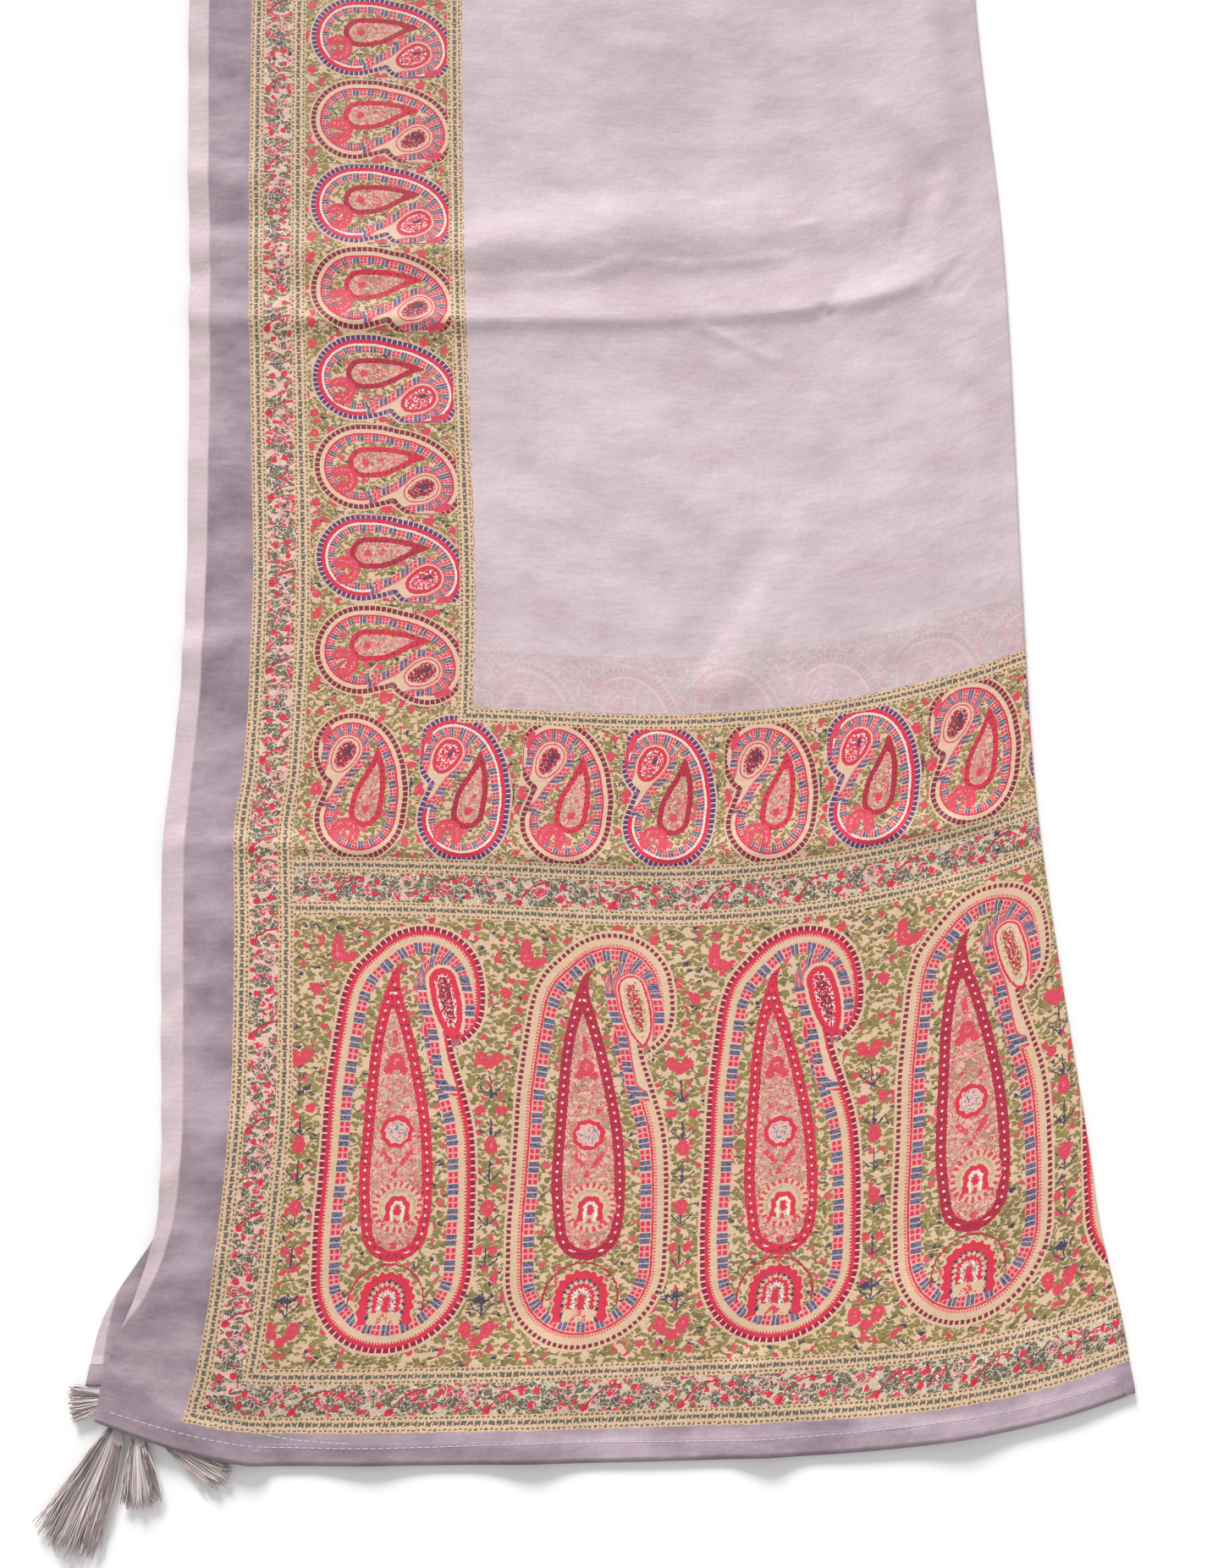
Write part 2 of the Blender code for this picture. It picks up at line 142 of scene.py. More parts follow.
# Finer creases that the solid leaves out, most of them steeper on one side, as pressed folds are
CREASED_BY_HAND = (
    # x start, y start, x end, y end, width of its near side, width of its far side, height
    (-0.222, 0.5835, -0.079, 0.5825, 0.0050, 0.016, 0.0016),
    (-0.079, 0.5825, 0.030, 0.5872, 0.0050, 0.018, 0.0022),
    (0.030, 0.5872, 0.106, 0.5905, 0.0050, 0.018, 0.0026),
    (0.126, 0.5928, 0.162, 0.6060, 0.0060, 0.010, 0.0024),
    (-0.020, 0.6092, 0.009, 0.6205, 0.0080, 0.0026, 0.0016),
    (0.009, 0.6205, 0.042, 0.6160, 0.0070, 0.0026, 0.0013),
    (0.042, 0.6160, 0.090, 0.6215, 0.0070, 0.0030, 0.0012),
    (0.032, 0.6237, 0.076, 0.6235, 0.0030, 0.0022, 0.0011),
    (0.030, 0.6351, 0.109, 0.6393, 0.0020, 0.003, 0.0008),
    (-0.079, 0.6072, -0.020, 0.6085, 0.0140, 0.004, 0.0014),
    (-0.064, 0.6290, 0.0224, 0.644, 0.0180, 0.014, 0.0038),
    (0.0224, 0.6440, 0.072, 0.646, 0.0180, 0.014, 0.0036),
    (0.047, 0.5800, 0.085, 0.5617, 0.0022, 0.004, 0.0010),
    (0.170, 0.6700, 0.164, 0.6300, 0.0060, 0.006, -0.0042),
    (0.181, 0.6041, 0.204, 0.6278, 0.0055, 0.006, -0.0046),
    (0.150, 0.5700, 0.192, 0.5410, 0.0070, 0.007, -0.0018),
    (0.130, 0.7200, 0.176, 0.6900, 0.0080, 0.008, 0.0016),
    (0.020, 0.5000, 0.050, 0.4700, 0.0050, 0.008, 0.0010),
    (0.080, 0.4600, 0.046, 0.4000, 0.0080, 0.010, -0.0016),
    (0.140, 0.3900, 0.120, 0.3650, 0.0080, 0.008, -0.0014),
    (-0.2230, 0.3002, -0.130, 0.2978, 0.0030, 0.006, 0.0014),
    (-0.130, 0.2978, 0.010, 0.2920, 0.0040, 0.008, 0.0012),
    (0.010, 0.2920, 0.186, 0.3090, 0.0040, 0.008, 0.0014),
    (-0.2258, 0.3010, -0.216, 0.3160, 0.0022, 0.003, -0.0010),
    (-0.2225, 0.2160, -0.210, 0.2335, 0.0022, 0.004, -0.0012),
    (-0.2220, 0.2021, -0.215, 0.2190, 0.0020, 0.003, 0.0010),
    (-0.2240, 0.1700, -0.2120, 0.1900, 0.0022, 0.004, -0.0012),
    (-0.2250, 0.1240, -0.2130, 0.1350, 0.0025, 0.004, 0.0012),
    (-0.2300, 0.0960, -0.2120, 0.1050, 0.0030, 0.004, 0.0014),
    (-0.2330, 0.0720, -0.2120, 0.0800, 0.0030, 0.004, -0.0014),
    (-0.2400, 0.0560, -0.2290, 0.0330, 0.0022, 0.003, 0.0026),
    (-0.2310, 0.0600, -0.2230, 0.0400, 0.0020, 0.003, -0.0014),
    (-0.2230, 0.3500, -0.2060, 0.3560, 0.0050, 0.007, -0.0013),
    (-0.2220, 0.4020, -0.2000, 0.4050, 0.0060, 0.008, 0.0016),
    (-0.2210, 0.4550, -0.1990, 0.4620, 0.0060, 0.009, -0.0014),
    (-0.2220, 0.5060, -0.2010, 0.5000, 0.0060, 0.008, 0.0013),
    (-0.2240, 0.5500, -0.2020, 0.5560, 0.0050, 0.008, -0.0013),
    (-0.2260, 0.6100, -0.2000, 0.6200, 0.0060, 0.008, -0.0018),
    (-0.2290, 0.6700, -0.2040, 0.6640, 0.0060, 0.010, 0.0020),
    (-0.2310, 0.7300, -0.2080, 0.7260, 0.0060, 0.010, -0.0018),
    (-0.1700, 0.0040, -0.0600, 0.0100, 0.0040, 0.006, 0.0012),
    (0.0850, 0.0220, 0.1400, 0.0140, 0.0040, 0.006, 0.0014),
    (0.1800, 0.0400, 0.2350, 0.0600, 0.0050, 0.007, 0.0012),
)
TASSEL_COVER = 0.034
TASSEL_MARGIN = 0.005
TASSEL_FADE = 0.016
HEAD_RADIUS = 0.0028
HEAD_BACK = 0.0070
TASSEL_CLEARANCE = 0.0005
TASSELS = (
    # node, head x and y, direction in degrees, length, spread, height at the tips, threads across and high
    ("tassel_near_upper_1", -0.2375, 0.0150, -112.0, 0.0590, 0.0290, 0.0054, 32, 10),
    ("tassel_near_upper_2", -0.2280, 0.0095, -84.0, 0.0310, 0.0180, 0.0050, 24, 8),
    ("tassel_near_under_1", -0.2150, 0.0085, -31.0, 0.0340, 0.0150, 0.0046, 20, 8),
    ("tassel_near_under_2", -0.2440, 0.0265, -172.0, 0.0170, 0.0170, 0.0042, 20, 6),
    ("tassel_far_upper_1", -0.2375, 2.2855, 116.0, 0.0560, 0.0250, 0.0054, 24, 8),
    ("tassel_far_upper_2", -0.2255, 2.2910, 86.0, 0.0360, 0.0170, 0.0050, 18, 6),
    ("tassel_far_under_1", -0.2140, 2.2920, 33.0, 0.0350, 0.0150, 0.0046, 18, 6),
    ("tassel_far_under_2", -0.2430, 2.2735, 174.0, 0.0180, 0.0160, 0.0042, 18, 6),
)

# The frame's origin is under the middle of the object, the layout's at the near hem
low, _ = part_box("dupatta_cloth")
SHIFT = Vector((low[0] + 0.2550, low[1] - ROW_SAG, 0.0))


def ease(value):
    value = np.clip(value, 0.0, 1.0)
    return value * value * (3 - 2 * value)


def smooth_reading(at, stations, values):
    """A smooth curve through a table's rows, read at any station."""
    slopes = np.gradient(values, stations)
    slopes[1:-1] = (values[2:] - values[:-2]) / (stations[2:] - stations[:-2])
    i = np.clip(np.searchsorted(stations, at, side="right") - 1, 0, len(stations) - 2)
    span = stations[i + 1] - stations[i]
    t = (at - stations[i]) / span
    return (
        values[i] * (1 + 2 * t) * (1 - t) ** 2
        + values[i + 1] * t * t * (3 - 2 * t)
        + span * (slopes[i] * t * (1 - t) ** 2 - slopes[i + 1] * t * t * (1 - t))
    )


def reading(station, column):
    return smooth_reading(station, LAYOUT[:, STATION], LAYOUT[:, column])


def row_rise(station, share):
    corner = np.maximum(0.0, 1 - share / CORNER_SHARE) ** 1.5
    fold = np.maximum(0.0, (share - FOLD_RISE_START) / (1 - FOLD_RISE_START)) ** FOLD_RISE_POWER
    dip = np.exp(-(((share - DIP_MIDDLE) / DIP_HALF_WIDTH) ** 2))
    sag = ROW_SAG * np.cos(np.pi * station / CLOTH_LENGTH)
    ends = reading(station, CORNER_RISE) * corner + reading(station, FOLD_RISE) * fold
    return sag + ends - reading(station, DIP) * dip


def ridges(x, y, table):
    raised, sunk = np.zeros_like(x), np.zeros_like(x)
    for x0, y0, x1, y1, near_width, far_width, top in table:
        run_x, run_y = x1 - x0, y1 - y0
        along = np.clip(((x - x0) * run_x + (y - y0) * run_y) / (run_x**2 + run_y**2), 0.0, 1.0)
        off_x, off_y = x - x0 - along * run_x, y - y0 - along * run_y
        width = np.where(run_x * off_y > run_y * off_x, far_width, near_width)
        height = top * np.exp(-(np.hypot(off_x, off_y) / width) ** 2)
        raised, sunk = np.maximum(raised, height), np.minimum(sunk, height)
    return raised + sunk


def skirt_size(spread, tip_height, along):
    """The half width and half height of a tassel's skirt, from 0 at its head to 1 at its tips."""
    open_out = along**0.8
    width = HEAD_RADIUS * 0.90 * (1 - open_out) + spread / 2 * open_out
    tall = HEAD_RADIUS * 0.80 * (1 - along) + tip_height / 2 * along
    return width, tall


def tassel_height(x, y):
    nearest = np.ones_like(x)
    for _, x0, y0, degrees, length, spread, tip_height, _, _ in TASSELS:
        ahead_x, ahead_y = math.cos(math.radians(degrees)), math.sin(math.radians(degrees))
        reach = np.clip((x - x0) * ahead_x + (y - y0) * ahead_y, -HEAD_BACK, min(TASSEL_COVER, length))
        width, _ = skirt_size(spread, tip_height, np.maximum(0.0, reach) / length)
        off = np.hypot(x - x0 - ahead_x * reach, y - y0 - ahead_y * reach)
        nearest = np.minimum(nearest, off - np.maximum(width, HEAD_RADIUS) - TASSEL_MARGIN)
    return (2 * HEAD_RADIUS + TASSEL_CLEARANCE + WALL + FLOOR_GAP) * (1 - ease(nearest / TASSEL_FADE))


def upper_leaf(across, station):
    left, fold = reading(station, LEFT), reading(station, FOLD)
    radius = WALL + LEAF_GAP / 2
    share = across / LEAF_WIDTH
    x = left + share * (fold - radius - left)
    y = station + row_rise(station, share)
    beyond_side = ease((x - left - reading(station, INSET) + SIDE_STEP[0]) / SIDE_STEP[1])
    end_distance = np.minimum(y, CLOTH_LENGTH - y) - UNDER_LEAF_SHORT
    beyond_end = ease((end_distance + END_STEP[0]) / END_STEP[1])
    raised = np.maximum(beyond_side * beyond_end, ease((share - FOLD_STEP[0]) / FOLD_STEP[1]))
    rest = WALL + FLOOR_GAP + raised * (WALL + LEAF_GAP - FLOOR_GAP)
    height = np.zeros_like(x)
    for k, crease in enumerate(CREASES):
        uneven = 0.75 + 0.25 * np.sin(9.0 * x + 2.1 * k)
        height += CREASE_HEIGHT * uneven * np.exp(-np.abs(station - crease) / CREASE_REACH)
    height += ridges(x, y, FOLDS) + ridges(x, y, CREASED_BY_HAND)
    # The margin flutters a little between its stitches, and the field has faint swells
    edge = x - left
    flutter = 1 + np.sin(130 * station + 2.0 * np.sin(31 * station))
    height += FLUTTER_HEIGHT * np.exp(-edge / FLUTTER_REACH) * flutter
    swell = np.sin(23 * x + 9 * y) * np.sin(17 * y - 6 * x)
    swell += 0.5 * np.sin(61 * x - 35 * y + 2 * np.sin(29 * y))
    height += SWELL_HEIGHT * (swell + 1)
    side_fade = 1 - ease((share - SIDE_FADE[0]) / SIDE_FADE[1])
    from_end = np.minimum(station, CLOTH_LENGTH - station)
    hem = HEM_EXTRA * ease((HEM_DEPTH + HEM_SLOPE / 2 - from_end) / HEM_SLOPE)
    return x, y, np.maximum(rest + hem + side_fade * np.maximum(height, 0.0), tassel_height(x, y))


def under_leaf(share, station):
    left, fold = reading(station, LEFT), reading(station, FOLD)
    radius = WALL + LEAF_GAP / 2
    x = fold - radius - share * (fold - radius - left - reading(station, INSET))
    at_fold = row_rise(station, np.ones_like(share))
    at_edge = UNDER_LEAF_SHORT * (1 - 2 * station / CLOTH_LENGTH)
    return x, station + at_fold + share * (at_edge - at_fold), np.full_like(x, UNDER_LEAF_HEIGHT)


def lie(across, along):
    """Where a point of the flat cloth lies. Past each end, the hem's turning goes back inside the fold."""
    turned = along - np.clip(along, 0.0, CLOTH_LENGTH)
    station = along - 2 * turned
    ux, uy, uz = upper_leaf(np.minimum(across, FOLD_START + 0.002), station)
    lx, ly, lz = under_leaf(np.clip((across - FOLD_END) / (CUT[0] - FOLD_END), 0.0, 1.0), station)
    top = upper_leaf(np.full_like(across, LEAF_WIDTH), station)
    angle = np.pi * np.clip((across - FOLD_START) / (FOLD_END - FOLD_START), 0.0, 1.0)
    fx = top[0] + top[2] / 2 * np.sin(angle)
    fz = top[2] / 2 * (1 + np.cos(angle)) + UNDER_LEAF_HEIGHT
    round_fold = (across > FOLD_START) & (across < FOLD_END)
    x = np.where(round_fold, fx, np.where(across <= FOLD_START, ux, lx))
    y = np.where(round_fold, top[1], np.where(across <= FOLD_START, uy, ly))
    z = np.where(round_fold, fz, np.where(across <= FOLD_START, uz, lz))
    inwards = np.where(across <= FOLD_START, -1.0, 1.0)
    under = inwards * np.minimum(TURNING_DROP, np.abs(turned) * 0.7)
    return x, y, np.maximum(z + under * (turned != 0), UNDER_LEAF_HEIGHT)


# The mesh starts as an even grid, and is divided again where the print and the creases need it
GRID_STEP = 0.0084
ROUND_STEPS = 4
UNDER_STEPS = 28
upper_columns = np.linspace(0.0, FOLD_START, int(FOLD_START / GRID_STEP) + 1)
fold_columns = np.linspace(FOLD_START, FOLD_END, ROUND_STEPS + 1)[1:]
under_columns = np.linspace(FOLD_END, CUT[0], UNDER_STEPS + 1)[1:]
COLUMNS = np.concatenate([upper_columns, fold_columns, under_columns])
hem_rows = np.array([-0.0100, -0.0050, -0.0010, 0.0, 0.0050, 0.0094, 0.0106])
even_rows = np.arange(0.016, CLOTH_LENGTH - 0.014, GRID_STEP)
ROWS = np.concatenate([hem_rows, even_rows, np.sort(CLOTH_LENGTH - hem_rows)])

sheet_shape = bmesh.new()
bmesh.ops.create_grid(sheet_shape, x_segments=len(COLUMNS) - 1, y_segments=len(ROWS) - 1, size=0.5)
DENSER = (
    # passes, from and to across, from and to along
    (1, (-0.001, 0.459), (-0.004, 0.790)),
    (1, (0.028, 0.162), (0.790, 1.900)),
    (1, (-0.001, 0.459), (1.880, 2.304)),
    (2, (0.026, 0.459), (0.026, 0.420)),
    (2, (0.060, 0.156), (0.420, 0.790)),
    (2, (0.150, 0.459), (0.560, 0.655)),
)


def flat_place(x, y):
    """How far across and along the flat cloth a place on the even grid is."""
    column, row = (x + 0.5) * (len(COLUMNS) - 1), (y + 0.5) * (len(ROWS) - 1)
    return np.interp(column, range(len(COLUMNS)), COLUMNS), np.interp(row, range(len(ROWS)), ROWS)


for level in (1, 2):
    chosen = set()
    for face in sheet_shape.faces:
        across, along = flat_place(*face.calc_center_median().xy)
        for passes, (a0, a1), (b0, b1) in DENSER:
            if passes >= level and a0 < across < a1 and b0 < along < b1:
                chosen.update(face.edges)
                break
    bmesh.ops.subdivide_edges(sheet_shape, edges=list(chosen), cuts=1, use_grid_fill=True)

silk_mesh = bpy.data.meshes.new("silk_cloth")
sheet_shape.to_mesh(silk_mesh)
sheet_shape.free()
count = len(silk_mesh.vertices)
grid_places = np.empty(count * 3)
silk_mesh.vertices.foreach_get("co", grid_places)
grid_places = grid_places.reshape(-1, 3)
ACROSS, ALONG = flat_place(grid_places[:, 0], grid_places[:, 1])
lie_x, lie_y, lie_z = lie(ACROSS, ALONG)
lie_places = np.stack([lie_x, lie_y, lie_z], 1) + np.array(SHIFT)
silk_mesh.vertices.foreach_set("co", lie_places.ravel())
silk_mesh.shade_smooth()
silk = bpy.data.objects.new("silk_cloth", silk_mesh)
bpy.context.scene.collection.objects.link(silk)

# THE PRINT'S PLACE ON THE CLOTH
# Block-printed dyes, with no thickness: a plain margin, a creeper border between dotted stripes, a deep
# panel of large paisleys at each end, a row of small ones, and a column of small ones down each side.
# In mm, a runs across the print and b along it.
PRINT_LEFT = np.array(
    [
        # station, x of the print's outer edge
        (0.000, -0.2085),
        (0.022, -0.2050),
        (0.040, -0.2010),
        (0.076, -0.1960),
        (0.121, -0.1920),
        (0.170, -0.1890),
        (0.255, -0.1900),
        (0.312, -0.1920),
        (0.343, -0.1885),
        (0.434, -0.1870),
        (0.527, -0.1910),
        (0.615, -0.1950),
        (0.777, -0.1990),
        (1.000, -0.1995),
        (1.300, -0.1945),
        (1.600, -0.1907),
        (1.900, -0.1935),
        (2.150, -0.1935),
        (2.220, -0.1965),
        (2.265, -0.2010),
        (2.300, -0.2060),
    ]
)
PRINT_WIDTH = 849.0
PRINT_LENGTH = 2270.0
PRINT_START = 15.0
MARGIN = 35.5

station = np.clip(ALONG, 0.0, CLOTH_LENGTH)
upper_x = np.where(ACROSS <= FOLD_END, lie_x, 0.0)
from_left = smooth_reading(station, PRINT_LEFT[:, 0], PRINT_LEFT[:, 1])
at_fold = (reading(station, FOLD) - from_left) * 1000
under_share = np.clip((ACROSS - FOLD_END) / (CUT[0] - FOLD_END), 0.0, 1.0)
PRINT_A = np.where(
    ACROSS <= FOLD_START,
    (upper_x - from_left) * 1000,
    np.where(
        ACROSS < FOLD_END,
        at_fold + (ACROSS - FOLD_START) * 1000,
        at_fold + 4 + under_share * (PRINT_WIDTH + MARGIN - at_fold - 4),
    ),
)
PRINT_B = ALONG * 1000 - PRINT_START
EDGE_DISTANCE = (lie_x - reading(station, LEFT)) * 1000

# A motif is a chain of round dabs: p to the right, q upwards, and the dab's radius
BIG_PITCH = 94.8
BIG_CENTRES = [86.5 + BIG_PITCH * k for k in range(8)]
BIG_BASE = 76.0
ROW_PITCH = 52.4
ROW_CENTRES = [62.9 + ROW_PITCH * k for k in range(15)]
ROW_BASE = 305.5
ROW_STRETCH = 0.98
COLUMN_PITCH = 49.9
COLUMN_CENTRES = [390.0 + COLUMN_PITCH * k for k in range(30)]
COLUMN_BASE = 59.3
COLUMN_STRETCH = 1.02
SMALL_SCALE = 0.70
GHOST_SHIFT = 29.0
LEAN = 0.0385

BIG_OUTLINE = (
    (0.6, 0, 39.0), (-0.5, 20, 39.4), (-1.2, 40, 38.9), (-2.6, 63, 37.6), (-5.0, 83, 34.8),
    (-6.5, 100, 31.4), (-6.7, 117, 28.6), (-7.0, 128, 26.3), (-5.6, 134.5, 25.4), (-2.8, 138, 25),
    (1, 141.5, 25), (5.2, 145, 25), (9.8, 146.3, 25), (14, 145.3, 24.4), (17, 143, 22), (20.5, 140, 19),
    (24.6, 134, 15), (27.7, 128, 11), (28.8, 122.5, 7.4), (27.5, 116.5, 3.8), (25.2, 112.0, 1.2),
)
BIG_CURL = (
    (18.2, 143.5, 8.5), (20.5, 133, 8.9), (22, 124, 7.4), (22.5, 116, 6.4), (24, 108, 6.8), (26.5, 98, 7.6),
)
BIG_OVAL = ((18.2, 143.5, 6.9), (20.5, 133, 7.3), (22.3, 124, 5.8), (23.3, 118, 3.0), (23.3, 114.5, 0.8))
BIG_TEARDROP = (
    (0, 21, 16.4), (-0.6, 31, 17.6), (-1.9, 45, 18.2), (-2.9, 60, 17.4), (-3.9, 76, 16), (-4.9, 91, 14),
    (-5.8, 106, 11.7), (-6.4, 121.5, 8.3), (-6.4, 137, 4), (-5, 146.5, 2), (-1, 153, 0.5),
)
SMALL_OUTLINE = (
    (0.5, -2.0, 23.6), (1.5, 6, 22.4), (2.2, 13, 20), (2.0, 21, 18.4), (0, 28, 17.2), (-3, 32, 16.9),
    (-7, 34, 16.8), (-11, 34, 16.6), (-14.5, 31, 13.6), (-17, 26.5, 9.8), (-18.2, 21.5, 6.2),
    (-18.4, 17.5, 3.2), (-18.4, 15.5, 1.2),
)
SMALL_CURL = (
    (-10.2, 31.8, 8.4), (-12.2, 28.4, 8.2), (-14.2, 24, 6.6), (-17.4, 17.5, 5.4), (-21, 10.5, 5.6),
)
SMALL_OVAL = ((-10.2, 31.8, 6.8), (-12.0, 28.6, 6.7), (-13.8, 25.0, 5.2))
SMALL_TEARDROP = (
    (2.8, 0.4, 8.7), (3.2, 8, 8.4), (4.2, 14, 6.9), (5.2, 20, 4.9), (5.8, 26.5, 2.6), (5.6, 33, 0.6),
)


def arc(p, q, radius, start, end, dab):
    """A curved stroke round a centre, from one angle to another in degrees."""
    steps = max(3, int(abs(end - start) / 18))
    angles = [math.radians(start + (end - start) * k / steps) for k in range(steps + 1)]
    return [(p + radius * math.cos(t), q + radius * math.sin(t), dab) for t in angles]


# Crimson and indigo flowers inside the paisleys, and in the gaps to their right
BIG_RED = (
    [(-4.8, 103.0, 4.2)],
    [(-8.6, 98.5, 2.4)],
    [(-1.2, 98.5, 2.4)],
    [(-8.0, 82.0, 1.5)],
    [(1.0, 80.5, 1.5)],
    [(-9.5, 57.5, 1.4), (-5.0, 52.5, 1.2)],
    [(4.2, 58.5, 1.3), (0.0, 52.0, 1.3)],
    [(-3.0, 47.5, 1.8)],
    [(-5.5, 118.0, 1.3), (-5.2, 111.0, 1.2)],
    [(-7.5, 14.0, 1.4)],
    [(7.5, 13.5, 1.4)],
    [(0.0, 12.5, 2.0)],
    # The drops under the wheel, and the stalk under the fan
    [(-6.2, 23.2, 1.5)],
    [(0.3, 24.2, 1.7)],
    [(6.8, 23.2, 1.5)],
    [(-0.4, -20.0, 0.7), (-0.4, -25.0, 0.7)],
    [(-4.0, -24.5, 0.8), (-0.4, -20.5, 0.6), (3.2, -24.5, 0.8)],
    # The bird, and the flowers beside it
    [(-34.0, 164.0, 2.6), (-34.6, 157.5, 3.2)],
    [(-34.5, 156.0, 3.2), (-29.0, 154.6, 2.6), (-25.0, 156.5, 1.2)],
    [(-20.5, 167.5, 1.8)],
    [(-44.5, 138.5, 3.0)],
    [(13.0, 174.5, 2.0)],
    [(30.0, 168.0, 2.6)],
)
GAP_RED = (
    [(-4.4, 106.0, 3.0), (-1.2, 101.5, 1.5)],
    [(3.6, 106.0, 3.0), (0.4, 101.5, 1.5)],
    [(-5.4, 79.5, 2.7)],
    [(5.4, 79.5, 2.7)],
    [(0.0, 60.5, 3.4), (0.0, 64.0, 2.4)],
    [(0.0, 31.5, 3.4), (0.0, 28.0, 2.0)],
    [(-3.6, 10.0, 2.4)],
    [(3.4, 10.0, 2.4)],
    [(0.0, 0.5, 1.6)],
    [(-7.6, -27.0, 3.2), (-6.4, -30.5, 2.4)],
    [(4.2, -27.0, 3.2), (3.0, -30.5, 2.4)],
    [(-1.6, -33.5, 2.8)],
    [(-4.6, -40.0, 1.2), (1.4, -40.0, 1.2)],
    [(9.0, 139.0, 2.8)],
    [(12.5, 120.0, 1.8)],
    [(-17.0, -37.0, 1.8)],
    [(14.0, -37.0, 1.8)],
    [(0.0, 92.5, 1.3)],
    [(-6.5, 45.5, 1.3)],
    [(6.5, 44.5, 1.3)],
    [(9.5, -14.0, 1.4)],
    [(-11.5, -14.0, 1.4)],
)
GAP_BLUE = (
    [(-1.6, -13.5, 1.9)],
    [(-8.5, -12.0, 0.9), (-1.6, -15.0, 1.0), (5.0, -12.0, 0.9)],
    [(0.0, 86.5, 1.6)],
    [(0.0, 68.5, 1.5)],
    [(0.0, 46.0, 1.3)],
)
SMALL_RED = (
    arc(-6.7, -11.0, 5.2, -40, 205, 2.5),
    [(-7.0, -11.6, 1.4)],
    [(2.8, 1.0, 2.2)],
    [(4.6, 9.0, 1.3)],
    [(-25.8, 10.5, 2.4), (-24.2, 13.8, 1.9)],
    [(-22.8, 9.8, 1.8)],
    [(-22.6, 37.0, 1.8), (-21.0, 43.0, 1.8)],
    [(19.4, -25.4, 2.5)],
    [(-19.4, -25.4, 2.5)],
    [(-26.0, -15.0, 1.6)],
    [(20.4, 33.0, 2.5)],
    [(21.0, 25.0, 1.4)],
    [(17.5, 44.0, 1.5)],
    [(5.4, 47.6, 1.7)],
    [(-31.5, 24.0, 1.4)],
)
SMALL_BLUE = (
    [(-10.4, 29.0, 1.0), (-9.2, 33.0, 1.1)],
    [(22.8, 38.0, 0.9), (20.0, 42.0, 0.9)],
    [(23.8, 18.0, 0.9), (25.6, 8.0, 0.9)],
)
FAR_OFF = 60.0


def dabs(chain):
    """A chain as closely spaced dabs on a smooth line, with the length run so far."""
    chain = np.array(chain, float)
    if len(chain) == 1:
        return np.array([[*chain[0], 0.0]])
    run = np.concatenate([[0.0], np.cumsum(np.hypot(*np.diff(chain[:, :2], axis=0).T))])
    at = np.linspace(0.0, run[-1], max(3, int(run[-1] / 0.7)))
    return np.stack([smooth_reading(at, run, chain[:, k]) for k in range(3)] + [at], 1)


def off_chain(p, q, samples):
    """How far each point is outside a chain of dabs, and which dab is the nearest."""
    found = np.full(len(p), FAR_OFF)
    nearest = np.zeros(len(p), int)
    for start in range(0, len(p), 6000):
        part = slice(start, start + 6000)
        off = np.hypot(p[part, None] - samples[:, 0], q[part, None] - samples[:, 1]) - samples[:, 2]
        nearest[part] = off.argmin(1)
        found[part] = off.min(1)
    return found, nearest


def rim_of(samples):
    """A chain's outline, in order from its tip round its base and back, and the length walked along it."""
    centre, radius = samples[:, :2], samples[:, 2]
    ahead = np.gradient(centre, samples[:, 3], axis=0)
    ahead /= np.hypot(*ahead.T)[:, None]
    slope = np.clip(np.gradient(radius, samples[:, 3]), -0.98, 0.98)[:, None]
    side = np.stack([-ahead[:, 1], ahead[:, 0]], 1) * np.sqrt(1 - slope**2)
    left = centre + radius[:, None] * (side - slope * ahead)
    right = centre - radius[:, None] * (side + slope * ahead)
    start, end = (math.atan2(*(point - centre[0])[::-1]) for point in (left[0], right[0]))
    round_base = np.linspace(start, end + 2 * math.pi * (end < start), 120)
    base = centre[0] + radius[0] * np.stack([np.cos(round_base), np.sin(round_base)], 1)
    rim = np.concatenate([left[::-1], base[1:-1], right])
    rim = rim[off_chain(rim[:, 0], rim[:, 1], samples)[0] > -0.3]
    return rim, np.concatenate([[0.0], np.cumsum(np.hypot(*np.diff(rim, axis=0).T))])


def off_rim(p, q, samples):
    """How far each point is outside an outline, and how far along it the nearest place is."""
    rim, walked = rim_of(samples)
    begin, step = rim[:-1], np.diff(rim, axis=0)
    length = np.hypot(*step.T) + 1e-9
    away, place = np.empty(len(p)), np.empty(len(p))
    for start in range(0, len(p), 4000):
        part = slice(start, start + 4000)
        off_p, off_q = p[part, None] - begin[:, 0], q[part, None] - begin[:, 1]
        along = np.clip((off_p * step[:, 0] + off_q * step[:, 1]) / length**2, 0.0, 1.0)
        off = np.hypot(off_p - along * step[:, 0], off_q - along * step[:, 1])
        nearest = off.argmin(1)
        each = np.arange(len(nearest))
        away[part] = off[each, nearest]
        place[part] = walked[nearest] + along[each, nearest] * length[nearest]
    return np.where(off_chain(p, q, samples)[0] < 0, -away, away), place


def together(*tables):
    return np.concatenate([dabs(chain) for table in tables for chain in table])


def leaning(table, across):
    """A gap's flowers set to one side of the paisley, and leaning with it."""
    return [[(p + across - LEAN * (q + 39), q, size) for p, q, size in chain] for chain in table]


def paisley_fields(p, q, outline, curl, oval, teardrop, red, blue):
    """The distances that the print's colours are drawn from, at points in the paisley's own p and q."""
    edge, walked = off_rim(p, q, dabs(outline))
    chains = dabs(curl), dabs(oval), dabs(teardrop), red, blue
    return [edge, walked, *(off_chain(p, q, chain)[0] for chain in chains), q]


